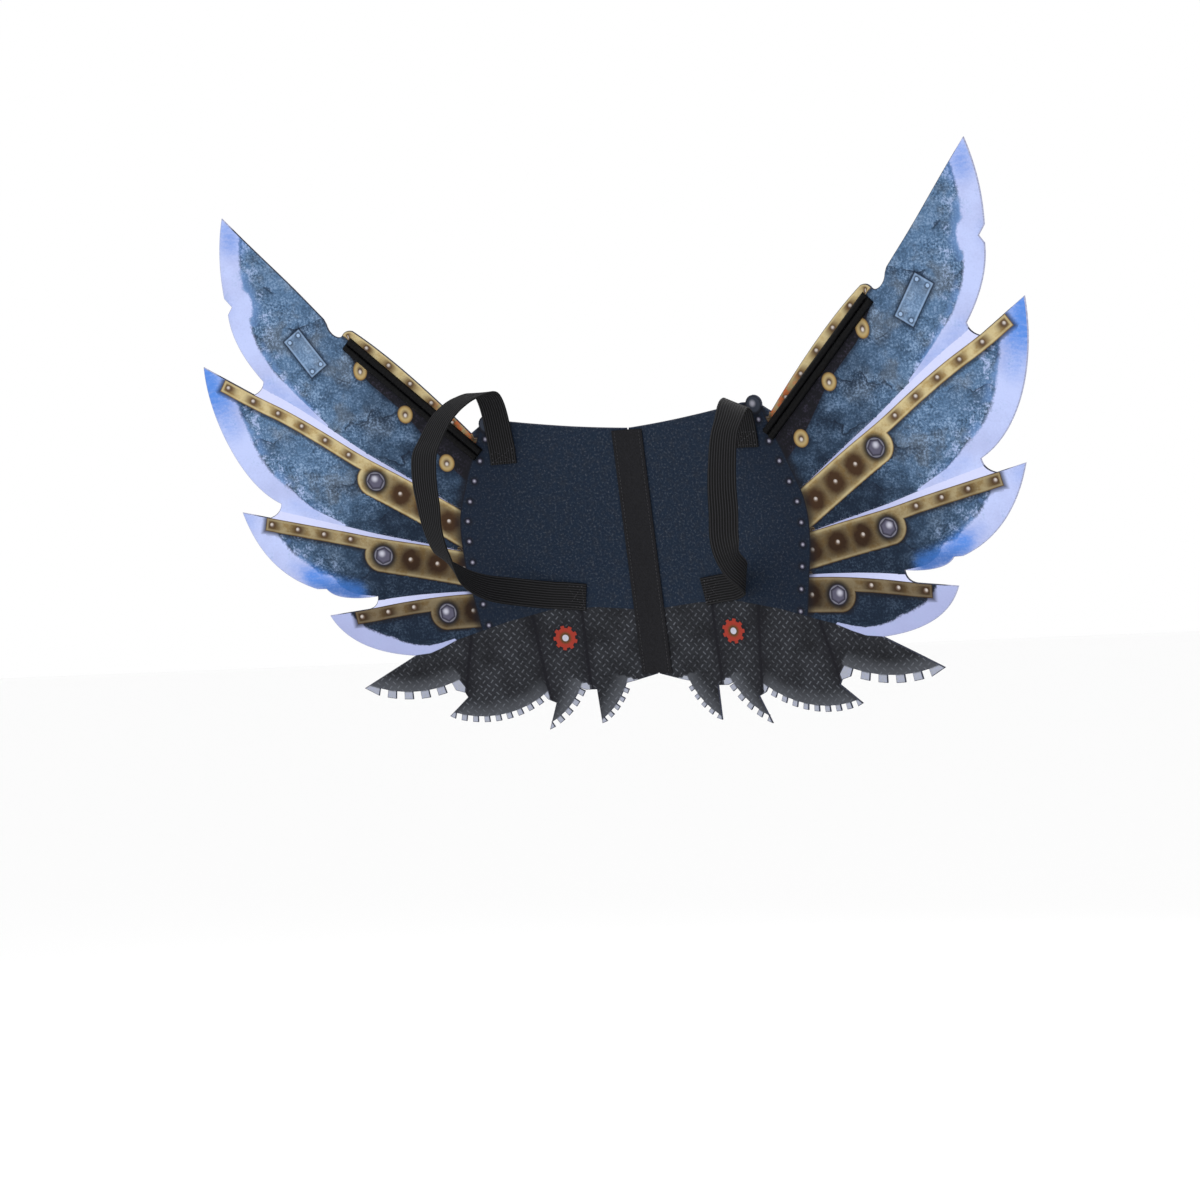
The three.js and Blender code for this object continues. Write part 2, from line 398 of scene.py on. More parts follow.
def face_net(ring):
    """Points and triangles that fill a ring; the ring's own points come first."""
    low, high = ring.min(axis=0), ring.max(axis=0)
    rows = np.arange(low[1], high[1], NET * math.sqrt(3) / 2)
    columns = np.arange(low[0], high[0], NET)
    grid = np.array([(x + (i % 2) * NET / 2, y) for i, y in enumerate(rows) for x in columns])
    grid = grid[inside(grid, ring)]
    closed = np.vstack([ring, ring[:1]])
    grid = grid[np.abs(path_field(grid, closed)[0]) > RIM_CLEARANCE * NET]
    points = np.vstack([ring, grid])
    sides = [(i, (i + 1) % len(ring)) for i in range(len(ring))]
    corners = [Vector(point) for point in points]
    found = delaunay_2d_cdt(corners, sides, [], TRIANGLES_INSIDE, WELD)
    points = np.array([tuple(point) for point in found[0]])
    return points, np.array([list(face) for face in found[2]])


face_ring = inset(outline, EDGE_ROUND)
net_points, net_faces = face_net(face_ring)
first, second, third = (net_points[net_faces[:, k]] for k in range(3))
turn = np.cross(second - first, third - first)
net_faces[turn < 0] = net_faces[turn < 0][:, ::-1]
net_area = np.abs(turn).sum() / 2 * MM**2
print("net:", len(net_points), "points,", len(net_faces), "triangles,", round(net_area, 4), "m2")

# %% Ripple of the free blades, away from the sleeve, the strap's two tabs and the tape
STAY = {"top": (204.4, 136.2), "foot": (114.5, 46), "width": 10.5, "base": 1.2, "rise": 3.2}
TOP_TAB = [(96, 38, 0), (96, 46, 0), (96, 53, 0.9)]  # out, up, and lift off the felt
LOW_TAB = [(73, -60, 2.4), (64, -61.4, 0.7), (56, -62.6, 0), (47, -64, 0)]
TAPE = {"half": 12.0, "thick": 1.2, "bottom": -123.0, "top": 55.0}
SEWN = [
    [STAY["top"], STAY["foot"]],
    [TOP_TAB[0][:2], TOP_TAB[-1][:2]],
    [LOW_TAB[-1][:2], LOW_TAB[0][:2]],
    [(0, TAPE["bottom"]), (0, TAPE["top"])],
]
CALM = 16.0  # no ripple this close to a sewn place
SETTLE = 60.0  # full ripple this much further out
RIPPLES = [  # height of each wave, millimetres to a radian out and up, and its start
    (1.3, 31, 43, 0),
    (0.78, -57, 22, 1.3),
]


def ripple(points):
    """How far the felt bends forward at each point."""
    calm = np.min([np.abs(path_field(points, path)[0]) for path in SEWN], axis=0)
    free = np.clip((calm - CALM) / SETTLE, 0, 1)
    out, up = points.T
    waves = [height * np.sin(out / a + up / b + start) for height, a, b, start in RIPPLES]
    return free * free * (3 - 2 * free) * sum(waves)


print("felt bends by at most", np.abs(ripple(net_points)).max().round(2), "mm")

# %% [markdown]
# ## What the print follows
# The print is a generic one: weathered blue plate, honed edges, riveted brass strips and dark
# tread plate. Each table row is a path on the wing. A strip's path is its upper edge, from the
# blade's tip inwards; start is where the brass begins and root is where it widens.

# %% Paths of the print
STRIPS = [
    {"edge": [(319.4, 129.6), (283.2, 105.4), (256.4, 89.5), (229.6, 71.5), (203, 52.5), (175, 34.5),
              (149.6, 17.5), (96, -20), (40, -60)], "start": 19, "root": 141},
    {"edge": [(306.6, 18.7), (284.8, 13.1), (254.3, 5.5), (226, -1.8), (203, -8.2), (150.6, -20.5),
              (96, -34), (40, -50)], "start": 20, "root": 100},
    {"edge": [(247.9, -63.6), (216.4, -61), (187, -57.8), (150, -55.5), (100, -56), (40, -58)],
     "start": 20, "root": 79},
]
EDGING = {"start": 0, "root": 900}  # brass along the leading edge; it has no widened root
EDGING_SHIFT = (-0.2, 0.4)
CURVE_STEPS = 8  # points on a smooth path for each of its places
STRIP_PULL = 8  # a point belongs to the strip that has it closest to this far below its edge
BACKING_YIELDS = 100  # and to a strip's brass rather than to the backing of the next one
STRIP_HALF = 5.0
STRIP_REACH = {"thin": 14.0, "root": 26.8}  # how far below its edge a strip is drawn
STRIP_MARGIN = {"above": 1.5, "end": 6, "root": 8}  # and how far past its other limits
BLADE_MARGIN = {"root": 2, "above": 6}  # a blade goes this far past its root and its strip's edge
NO_STRIP = (-5000, 45, -5000)  # stored where no strip is drawn
BACKING = {"ends": 75, "taper": 0.045, "widest": 9}  # pale backing above a strip, a long wedge
BEVELS = [  # width of each honed band, as (share of the edge's length, width)
    [(0, 15.5), (0.41, 16), (0.68, 11.5), (0.8, 8), (1, 0.5)],
    [(0, 20), (0.35, 19), (0.7, 14), (0.79, 9), (1, 0.5)],
    [(0, 19), (0.5, 16), (0.72, 10), (0.86, 4), (1, 0.3)],
    [(0, 15), (0.5, 12), (1, 1.5)],
]
BEVEL_RUNS_ON = [  # where each honed band tapers off, past the blade's own edge
    [(253, 95.5), (227, 76.5)],
    [(253, 11.5), (225, 3)],
    [],
    [(173, -97.4), (163, -94), (152, -89)],
]
BEVEL = 17.0  # stored distances are stretched so that every band is this wide
FAN_LINE = [(200, -98.6), (187, -98.5), (173, -97.4), (163, -94), (150, -88.5), (110, -78),
            (72, -71), (40, -72), (-10, -78)]
FAN_SEAMS = [
    [(168, -146.5), (149.5, -130.5), (138, -84)],
    [(93, -162), (84, -141), (90, -74)],
    [(52, -160), (52.5, -134), (52, -72)],
]
HUB_LINE = [(106, 90), (114, 58), (126, 30), (136, 0), (137, -30), (133, -60), (127, -100)]
WEB_ANGLE = 5  # a fan's pale web goes this many degrees past its last tooth
NO_TEETH = 16.0  # stored past that angle, where a fan has no teeth
BLUE_STROKES = [  # path, reach and strength of each blue brush stroke
    ([(319, 124), (315, 109)], 16, 1.0),
    ([(310, 97), (305, 82)], 14, 0.5),
    ([(285, 226), (283, 218)], 15, 0.6),
    ([(305, 17), (302, 11)], 10, 0.4),
    ([(293, 175), (293, 169)], 9, 0.3),
    ([(256, -34), (247, -39.5), (237, -44), (224, -48)], 9, 1.0),
    ([(270, -24), (256, -34)], 8, 0.4),
    ([(271, 112), (257, 99), (242, 89)], 9.5, 0.4),
    ([(263, 22), (247, 14)], 9, 0.35),
]

# %% Smooth paths through a few places
SHORTEST = 1e-4  # a gap below this is as good as none


def smooth_curve(places, t):
    """A centripetal Catmull-Rom curve through places, at t from 0 to 1."""
    places = np.asarray(places, float)
    spot = t * (len(places) - 1)
    index = min(int(spot), len(places) - 2)
    w = spot - index
    p1, p2 = places[index], places[index + 1]
    p0 = places[index - 1] if index > 0 else 2 * places[0] - places[1]
    p3 = places[index + 2] if index + 2 < len(places) else 2 * places[-1] - places[-2]
    gaps = [((b - a) @ (b - a)) ** 0.25 for a, b in ((p0, p1), (p1, p2), (p2, p3))]
    here = gaps[1] if gaps[1] >= SHORTEST else 1.0
    before, after = (gap if gap >= SHORTEST else here for gap in (gaps[0], gaps[2]))
    slope1 = ((p1 - p0) / before - (p2 - p0) / (before + here) + (p2 - p1) / here) * here
    slope2 = ((p2 - p1) / here - (p3 - p1) / (here + after) + (p3 - p2) / after) * here
    cubic = 2 * p1 - 2 * p2 + slope1 + slope2
    square = 3 * (p2 - p1) - 2 * slope1 - slope2
    return p1 + w * (slope1 + w * (square + w * cubic))


def smooth_path(places):
    """Points close together on the smooth curve through places."""
    return [smooth_curve(places, t) for t in np.linspace(0, 1, CURVE_STEPS * len(places))]


def strip_paths():
    """Smooth upper edges of the strips; the first is the leading edge with its curl."""
    edging = bezier(LUG_FOOT, LEADING_EDGE)
    edging += bezier(edging[-1], CURL)
    rows = [{**EDGING, "edge": np.array(edging[::-1]) + EDGING_SHIFT}]
    return rows + [{**strip, "edge": smooth_path(strip["edge"])} for strip in STRIPS]


strip_rows = strip_paths()
print("strips with points on their edges:", [len(strip["edge"]) for strip in strip_rows])

# %% What each point of the felt stores
def honed_paths():
    """The honed edge of each blade, with the stretch where its band tapers off."""
    paths = []
    for blade, runs_on in zip(BLADES, BEVEL_RUNS_ON):
        path = [blade["tip"]]
        for run in blade["edge"]:
            path += bezier(path[-1], run)
        paths.append(path + runs_on)
    return paths


def blade_of(points):
    """Which blade each point is on, by its side of the strips' upper edges."""
    belongs = np.zeros(len(points), int)
    for i, strip in enumerate(strip_rows[1:], start=1):
        signed, _ = path_field(points, strip["edge"])
        beyond = points[:, 0] > BLADES[i]["root"][0] - BLADE_MARGIN["root"]
        belongs[np.where(beyond, signed > -BLADE_MARGIN["above"], signed > STRIP_HALF)] = i
    return belongs


def honed_field(points):
    """Distance to the honed edge of each point's own blade, stretched by the band's width there."""
    rows = []
    for path, widths in zip(honed_paths(), BEVELS):
        away, along = path_field(points, path)
        length = np.hypot(*np.diff(np.array(path), axis=0).T).sum()
        shares, wide = zip(*widths)
        rows.append(np.abs(away) * BEVEL / np.interp(along / length, shares, wide))
    return np.array(rows)[blade_of(points), np.arange(len(points))]


def strip_field(points):
    """Length from the strip's end, distance below its edge and length into its root."""
    rows = []
    for strip in strip_rows:
        across, along = path_field(points, strip["edge"])
        rows.append((along - strip["start"], across, along - strip["root"]))
    rows = np.array(rows)
    from_end, across, from_root = rows[:, 0], rows[:, 1], rows[:, 2]
    backing = np.clip((BACKING["ends"] - from_root) * BACKING["taper"], 0, BACKING["widest"])
    reach = np.where(from_root > -STRIP_MARGIN["root"], STRIP_REACH["root"], STRIP_REACH["thin"])
    drawn = (across > -backing - STRIP_MARGIN["above"]) & (across < reach)
    drawn &= from_end > -STRIP_MARGIN["end"]
    pull = np.abs(across - STRIP_PULL) + np.where(across < 0, BACKING_YIELDS, 0)
    pull = np.where(drawn, pull, np.inf)
    owner = pull.argmin(axis=0)
    field = rows[owner, :, np.arange(len(points))]
    field[~drawn.any(axis=0)] = NO_STRIP
    return field


def fan_field(points):
    """Distance below the fans' upper line, inside the teeth's floor and from the nearest seam."""
    below, _ = path_field(points, FAN_LINE)
    seam = np.array([path_field(points, path)[0] for path in FAN_SEAMS])
    which = (seam > 0).sum(axis=0)
    floors = []
    for fan in FANS:
        gap = points - np.array(fan["centre"])
        past_web = np.degrees(np.arctan2(gap[:, 0], -gap[:, 1])) < fan["end"] - WEB_ANGLE
        floors.append(np.where(past_web, NO_TEETH, fan["rim"] - fan["depth"] - np.hypot(*gap.T)))
    floor = np.array(floors)[which, np.arange(len(points))]
    return np.stack([below, floor, np.abs(seam).min(axis=0)], axis=1)


def blue_glow(points):
    """How blue each point is, from 0 to 1, by the brush strokes near it."""
    bare = np.ones(len(points))
    for path, reach, strength in BLUE_STROKES:
        far, _ = path_field(points, path)
        bare *= 1 - strength * np.exp(-((far / reach) ** 2))
    return 1 - bare


def print_fields(points):
    """What each point of the felt stores for the shader, by name."""
    beside, along = path_field(points, [STAY["top"], STAY["foot"]])
    hub, around = path_field(points, smooth_path(HUB_LINE))
    return {
        "place": np.column_stack([points, np.zeros(len(points))]),
        "edge": np.stack([honed_field(points), blue_glow(points), around], axis=1),
        "strip": strip_field(points),
        "fan": fan_field(points),
        "arm": np.stack([beside, along, hub], axis=1),
    }


# %% [markdown]
# ## Shader maths in plain expressions
# A material is a graph of nodes. Written out node by node it is hard to read, so a small class
# stands for one socket and adds a Math node for each operator. Another class is the material: one
# method adds any other node, with its settings first and then what feeds its sockets.

# %% A number in a shader, and a material
class Number:
    """A socket with a number in it. Operators add Math nodes."""

    def __init__(self, finish, socket):
        self.finish = finish
        self.socket = socket

    def math(self, operation, *others):
        values = dict(enumerate((self, *others)))
        return self.finish.node("ShaderNodeMath", {"operation": operation}, values)

    def __add__(self, other):
        return self.math("ADD", other)

    def __sub__(self, other):
        return self.math("SUBTRACT", other)

    def __rsub__(self, other):
        values = {0: other, 1: self}
        return self.finish.node("ShaderNodeMath", {"operation": "SUBTRACT"}, values)

    def __mul__(self, other):
        return self.math("MULTIPLY", other)

    def __truediv__(self, other):
        return self.math("DIVIDE", other)

    __radd__ = __add__
    __rmul__ = __mul__

    def size(self):
        return self.math("ABSOLUTE")

    def least(self, other):
        return self.math("MINIMUM", other)

    def most(self, other):
        return self.math("MAXIMUM", other)

    def far(self, other):
        """Length of the two numbers as the sides of a right angle."""
        return (self * self + other * other).math("SQRT")

    def repeat(self, pitch):
        """From -pitch/2 to pitch/2, again and again."""
        return self.math("WRAP", pitch / 2, -pitch / 2)

    def wave(self, pitch):
        """A sine that comes again after each pitch."""
        return (self * (2 * math.pi / pitch)).math("SINE")

    def rise(self, low, high):
        """0 below low, 1 above high, and smooth between them; high may be the lower one."""
        turned = high < low
        values = {0: self, 1: min(low, high), 2: max(low, high), 3: float(turned), 4: float(not turned)}
        return self.finish.node("ShaderNodeMapRange", {"interpolation_type": "SMOOTHSTEP"}, values)


class Finish:
    """A material with one Principled shader."""

    def __init__(self, name, **constants):
        self.material = bpy.data.materials.new(name)
        self.material.use_nodes = True
        self.tree = self.material.node_tree
        self.shader = self.tree.nodes["Principled BSDF"]
        for socket, value in constants.items():
            self.shader.inputs[socket.replace("_", " ")].default_value = value

    def node(self, kind, settings, sockets, output=0):
        """Adds a node, sets it up, feeds its sockets, and returns one of its outputs."""
        made = self.tree.nodes.new(kind)
        for name, value in settings.items():
            setattr(made, name, value)
        for key, value in sockets.items():
            self.feed(made.inputs[key], value)
        return Number(self, made.outputs[output])

    def feed(self, socket, value):
        if isinstance(value, Number):
            self.tree.links.new(value.socket, socket)
        else:
            socket.default_value = value

    def stored(self, name):
        """A vector that each point of the piece stores."""
        settings = {"attribute_type": "GEOMETRY", "attribute_name": name}
        return self.node("ShaderNodeAttribute", settings, {}, "Vector")

    def parts(self, vector):
        """The three numbers of a vector."""
        split = self.node("ShaderNodeSeparateXYZ", {}, {0: vector})
        return [Number(self, socket) for socket in split.socket.node.outputs]

    def noise(self, vector, scale, detail=2.0, roughness=0.55):
        sockets = {"Vector": vector, "Scale": scale, "Detail": detail, "Roughness": roughness}
        return self.node("ShaderNodeTexNoise", {"noise_dimensions": "3D"}, sockets)

    def mix(self, share, below, above, blend="MIX"):
        """The colour above laid over the colour below, or blended with it."""
        settings = {"data_type": "RGBA", "blend_type": blend}
        return self.node("ShaderNodeMix", settings, {0: share, 6: below, 7: above}, 2)

    def layers(self, base, *rows):
        """Colours laid over a base one after another, each row a share and a colour."""
        for share, colour in rows:
            base = self.mix(share, base, colour)
        return base

    def bump(self, height, distance, strength):
        sockets = {"Height": height, "Distance": distance, "Strength": strength}
        return self.node("ShaderNodeBump", {}, sockets)

    def wear(self, **links):
        """Feeds the shader's sockets."""
        for socket, value in links.items():
            self.feed(self.shader.inputs[socket.replace("_", " ")], value)
        return self.material


def ink(red, green, blue):
    """A colour given as 0 to 255, as the shader wants it."""
    values = [value / 255 for value in (red, green, blue)]
    linear = [v / 12.92 if v <= 0.04045 else ((v + 0.055) / 1.055) ** 2.4 for v in values]
    return (*linear, 1)


# %% [markdown]
# ## Printed felt
# Wings like these are white felt with a picture printed on it. The picture is layered as a painter
# would do it: weathered plate first, then the honed bands, the pale backing between the blades, the
# brass with its rivets and bolts, and last the dark plates. Shadows and highlights are painted into
# these layers too: painted shadows under the strips and round bolts, plates and knobs, and painted
# highlights on rivets, bolts and brass edges. So each finish below is a list of layers, and a row
# says how much of a colour goes where. Places and widths are in millimetres on the wing. The ink is
# matt, and the felt shows through as a fine matted grain in the bump.

# %% Colours of the print
NAVY = ink(18, 27, 43)
STEEL_DARK = ink(24, 37, 54)
STEEL = ink(84, 114, 148)
STEEL_PALE = ink(150, 176, 210)
STEEL_GREY = ink(100, 106, 112)
FRINGE_BLUE = ink(112, 148, 204)
LAVENDER = ink(186, 198, 240)
LAVENDER_SHADE = ink(160, 166, 206)
BACKING_PALE = ink(203, 208, 241)
VIVID_BLUE = ink(72, 130, 216)
DEEP_BLUE = ink(46, 92, 160)
BRASS = ink(164, 138, 88)
BRASS_LIGHT = ink(198, 182, 138)
PATINA = ink(88, 62, 36)
ROOT_BROWN = ink(66, 46, 30)
# Painted shade: the lowest brass keeps only this share of its brightness.
LOW_BRASS_SHADE = (0.28, 0.26, 0.29, 1)  # what the lowest brass keeps of its brightness
RUST = ink(184, 92, 48)
# Near-black ink, also laid as painted shadow under strips and round bolts, rivets, knobs and plates.
BLACK_INK_AND_SHADOW = ink(22, 22, 28)
TREAD_DARK = ink(25, 26, 30)
TREAD = ink(46, 48, 53)
TREAD_LIGHT = ink(112, 116, 124)
TOOTH = ink(160, 164, 174)
PIN_LIGHT = ink(204, 196, 190)
PIN_DARK = ink(92, 74, 60)
BOLT_DARK = ink(44, 42, 56)
BOLT_FACE = ink(88, 86, 104)
BOLT_LIGHT = ink(186, 186, 200)
COPPER = ink(152, 54, 42)
KNOB = ink(58, 64, 76)
ARM_GLINT = ink(62, 58, 74)
SOAKED_DARK = ink(24, 26, 34)
SOAKED = ink(84, 88, 106)
BARE_SHADE = ink(132, 136, 168)
BARE_FELT = ink(196, 200, 226)
print("brass in the shader's numbers:", [round(value, 3) for value in BRASS])

# %% Weathered plate with honed edges, and a patch on it
LIGHT_OUT = 0.0075  # how much lighter the plate gets for each millimetre out
LIGHT_UP = 0.0022  # and up
LIGHT_START = 1.25
BRUSH_STRETCH = (0.5, 1.5, 1)
LAP_PITCH = 37.0
PATCH = {"at": (238, 132), "turn": 57, "long": 17, "wide": 8, "pin_in": 3.6}


def steel_plate(felt, place, out, up, honed, glow):
    """Weathered blue plate with honed edges, darker towards the root."""
    broad = felt.noise(place, 0.024, 3)
    blotch = felt.noise(place, 0.1, 4, 0.62)
    grain = felt.noise(place, 0.58, 4, 0.7)
    salt = grain * 0.8 + blotch * 0.4
    light = (out * LIGHT_OUT + up * LIGHT_UP - LIGHT_START).most(0.0).least(1.0)
    light = light + (broad - 0.5) * 0.7 + (blotch - 0.5) * 0.5
    by_height = up.rise(-20, 45) * 0.3 - up.rise(65, 110) * 0.15 - up.rise(-20, -70) * 0.12
    light = light + by_height - 0.15
    lit = 0.15 + light.rise(0.0, 0.9) * 0.85
    beside_edge = honed.rise(44, 20) * up.rise(215, 165)
    rough = 0.55 + felt.noise(place, 0.035).rise(0.4, 0.62) * 0.3 + beside_edge * 0.15
    grey = felt.noise(place, 0.045, 3).rise(0.46, 0.66) * light.rise(0.2, 0.7)
    lap = (up + out * 0.16 + (broad - 0.5) * 50).repeat(LAP_PITCH)
    lap_line = (lap + (grain - 0.5) * 1.5).size().rise(0.8, 0.2)
    faint = felt.noise(place, 0.03).rise(0.42, 0.6)
    frost = (blotch * 0.8 + grain * 0.45 + (broad - 0.5) * 0.3).rise(0.63, 0.77)
    frost = frost * honed.rise(42, 18) * light.rise(0.1, 0.8)
    plate = felt.layers(
        STEEL_DARK,
        (light.rise(-0.1, 1.0), STEEL),
        (grey * 0.55, STEEL_GREY),
        # painted shade just below each plate lap
        (lap.rise(-14, 0) * lap.rise(0.3, 0) * faint * 0.55, NAVY),
        (salt.rise(0.585, 0.74) * lit * rough * 0.8, STEEL_PALE),
        (salt.rise(0.6, 0.47) * rough * 0.7, NAVY),
        (lap_line * faint * 0.75, NAVY),
        (frost * (0.3 + up.rise(205, 165) * 0.4), LAVENDER),
    )
    ragged = honed + (blotch - 0.5) * 5 + (grain - 0.5) * 6
    band = felt.layers(
        LAVENDER,
        ((broad + (grain - 0.5) * 0.4).rise(0.35, 0.7) * 0.5, LAVENDER_SHADE),
        (up.rise(-30, -85) * 0.75, LAVENDER_SHADE),
        ((blotch * 0.6 + grain * 0.5).rise(0.6, 0.74) * 0.5, STEEL_PALE),
    )
    crusted = felt.noise(place, 0.05).rise(0.46, 0.56)
    fringe = ragged.rise(BEVEL + 11, BEVEL) * (1 - crusted)
    rim = ragged.rise(BEVEL + 3.2, BEVEL + 0.8) * ragged.rise(BEVEL - 1.2, BEVEL)
    sockets = {0: place, 1: BRUSH_STRETCH}
    brushed = felt.node("ShaderNodeVectorMath", {"operation": "MULTIPLY"}, sockets)
    streak = felt.noise(brushed, 0.3, 3, 0.6)
    blue = glow * (0.3 + streak * 0.8 + grain * 0.6)
    vivid = felt.mix(up.rise(-32, -46) * 0.8, VIVID_BLUE, DEEP_BLUE)
    plate = felt.layers(
        plate,
        (fringe * light.rise(-0.1, 0.5) * 0.55, FRINGE_BLUE),
        (rim * crusted * 0.5, NAVY),
        (ragged.rise(BEVEL + 1.6, BEVEL - 1.2), band),
        (blue.rise(0.1, 1.1) * 0.92, vivid),
    )
    return plate, grain


def patch_plate(felt, below, out, up):
    """A small riveted patch on the longest blade, drawn as lines of light and shade."""
    turn = math.radians(PATCH["turn"])
    dx, dy = out - PATCH["at"][0], up - PATCH["at"][1]
    along = (dx * math.cos(turn) + dy * math.sin(turn)).size() - PATCH["long"]
    across = (dy * math.cos(turn) - dx * math.sin(turn)).size() - PATCH["wide"]
    edge = along.most(across)
    outside = edge.rise(-0.9, 0.1)
    pin = (along + PATCH["pin_in"]).far(across + PATCH["pin_in"])
    return felt.layers(
        below,
        (edge.rise(4, 0) * outside * 0.6, NAVY),
        (edge.rise(1.0, 0.1) * outside * 0.7, NAVY),
        (edge.rise(0, -0.6) * 0.2, STEEL_PALE),
        (edge.rise(-0.4, -0.9) * edge.rise(-2.2, -1.2) * 0.5, STEEL_PALE),
        (pin.rise(3.2, 1.4) * 0.6, NAVY),
        (pin.rise(1.6, 1.1), STEEL_PALE),
    )


# %% Brass strips, their rivets and bolts
RIVET_START = 5.0
RIVET_PITCH = 21.0
RIVET_RADIUS = 2.1
NO_RIVET = 40.0  # added to a rivet's distance where the bolt takes its place
ROOT_HALF = 12.5
BOLT_IN = 14.0  # bolt's place inside the widened root


def on_edging(from_root):
    """1 on the leading edge's brass, whose root is far away, and 0 on the strips."""
    return from_root.rise(-400, -500)


def strip_rivets(from_end, across, from_root):
    """Distance to the nearest rivet of a strip, and to the gleam on it."""
    in_root = from_root.rise(-1, 1)
    beside = across - (STRIP_HALF + (ROOT_HALF - STRIP_HALF) * in_root)
    thin_spot = (from_end - RIVET_START).repeat(RIVET_PITCH)
    root_spot = (from_root - BOLT_IN).repeat(RIVET_PITCH)
    spot = thin_spot + (root_spot - thin_spot) * in_root
    by_bolt = from_root.rise(-3, -1) * from_root.rise(BOLT_IN + 10, BOLT_IN + 8)
    return spot.far(beside) + by_bolt * NO_RIVET, (spot + 0.5).far(beside + 0.5)


def bolt_head(felt, below, side, rise):
    """A hexagon bolt, by the distances from its middle along and across the strip."""
    bolt = side.far(rise)
    flats = side.size().most(side.size() * 0.5 + rise.size() * (math.sqrt(3) / 2))
    # painted highlight on the face, and painted shade towards its edges
    face = felt.layers(
        BOLT_FACE,
        ((side + 1.4).far(rise + 1.4).rise(3.6, 0.4), BOLT_LIGHT),
        (flats.rise(3.6, 5.2) * 0.8, BOLT_DARK),
    )
    return felt.layers(
        below,
        # painted shadow round the bolt
        (bolt.rise(12.0, 7.5) * 0.9, BLACK_INK_AND_SHADOW),
        (bolt.rise(7.6, 7.2), BOLT_DARK),
        # painted highlight on the washer's rim
        (bolt.rise(7.0, 6.6) * flats.rise(5.4, 5.8) * 0.3, BOLT_LIGHT),
        (flats.rise(5.6, 5.2), face),
    )


def brass_work(felt, below, place, strip, out, up, grain):
    """Strips with rivets, their widened roots and a bolt on each root."""
    from_end, across, from_root = strip
    edging = on_edging(from_root)
    rivet, gleam = strip_rivets(*strip)
    thin = ((across - STRIP_HALF).size() - STRIP_HALF).most(0 - from_end)
    root = (ROOT_HALF - from_root).most(0.0).far(across - ROOT_HALF) - ROOT_HALF
    brass = thin.least(root)
    mottle = felt.noise(place, 0.11, 3, 0.6)
    flake = felt.noise(place, 0.2, 3, 0.65)
    rusty = edging * from_end.rise(84, 106)
    rim = brass.rise(-2.6, -1.4) * brass.rise(-0.3, -0.9)
    worn_root = from_root.rise(-12, 36) * (0.38 + mottle * 0.6 + rivet.rise(13, 2) * 0.45)
    metal = felt.layers(
        BRASS,
        ((mottle + (grain - 0.5) * 0.4).rise(0.3, 0.62), BRASS_LIGHT),
        (edging * 0.4, BRASS_LIGHT),
        (rivet.rise(9.5, 1.5) * (0.5 + mottle * 0.7), PATINA),
        (worn_root * (across - ROOT_HALF).size().rise(13.5, 7), ROOT_BROWN),
        # painted highlight: a light band just inside the brass's edge, uneven with the mottle
        (rim * (0.25 + mottle * 0.7), BRASS_LIGHT),
        (brass.rise(-0.9, -0.1) * (0.3 + grain), PATINA),
        (rusty * 0.45, PATINA),
        (rusty * flake.rise(0.42, 0.6) * 0.8, RUST),
    )
    # painted shade: the brass darkens lower down the wing and further out
    metal = felt.mix((up - out * 0.35).rise(-22, -147), metal, LOW_BRASS_SHADE, "MULTIPLY")
    pin = felt.mix(gleam.rise(0.1, 2.0), PIN_LIGHT, PIN_DARK)
    metal = felt.layers(
        metal,
        (rivet.rise(3.4, 2.0) * 0.4, ROOT_BROWN),
        (rivet.rise(RIVET_RADIUS, RIVET_RADIUS - 0.5), pin),
    )
    metal = bolt_head(felt, metal, from_root - BOLT_IN, across - ROOT_HALF)
    wedge = (BACKING["ends"] - from_root) * BACKING["taper"]
    backing = across.rise(0.15, -0.15) * (across + wedge).rise(-0.2, 0.2) * (1 - edging)
    pale = felt.layers(
        BACKING_PALE,
        (from_root.rise(-50, 60) * 0.85, LAVENDER_SHADE),
        (grain.rise(0.55, 0.75) * 0.25, LAVENDER_SHADE),
    )
    return felt.layers(
        below,
        (backing * from_end.rise(-2, 0), pale),
        # painted shadow below each strip, on the plate
        (brass.rise(4.5, 0) * across.rise(0, 1) * 0.8, BLACK_INK_AND_SHADOW),
        (brass.rise(0.25, -0.15), metal),
    )


# %% Dark plates: the arm beside the sleeve, the root and the lug
DISC_START = 20.0
DISC_PITCH = 46.0
HUB_RIVETS = {"pitch": 16, "inside": 6}


def dark_arm(felt, below, beside, along, dark):
    """Dark arm beside the sleeve, with a row of brass discs on its edge."""
    beyond = beside - (4.5 + along.rise(-2, 34) * 7.5 + along.rise(55, 120) * 9)
    starts = along.rise(1.0, 2.0)
    disc = (along - DISC_START).repeat(DISC_PITCH).far(beyond)
    gleam = (along - DISC_START - 0.5).repeat(DISC_PITCH).far(beyond - 0.5)
    brass = felt.layers(
        BRASS_LIGHT,
        (disc.rise(1.5, 5.5), BRASS),
        (disc.rise(4.8, 6.3) * 0.8, PATINA),
        (disc.rise(4.2, 2.0) * 0.7, PATINA),
        (disc.rise(2.2, 1.8), PIN_DARK),
        (gleam.rise(1.9, 0.5), PIN_LIGHT),
    )
    row = along.rise(4, 5) * along.rise(128, 127)
    return felt.layers(
        below,
        # painted shadow of the arm on the blade beside it
        (beyond.rise(4, 0) * starts * beside.rise(0, 1) * 0.6, NAVY),
        (beyond.rise(0.3, -0.1) * starts * beside.rise(-4.5, -4.0), dark),
        # painted shadow round each disc
        (disc.rise(9, 5.5) * row * 0.7, BLACK_INK_AND_SHADOW),
        (disc.rise(6.4, 6.0) * row, brass),
    )


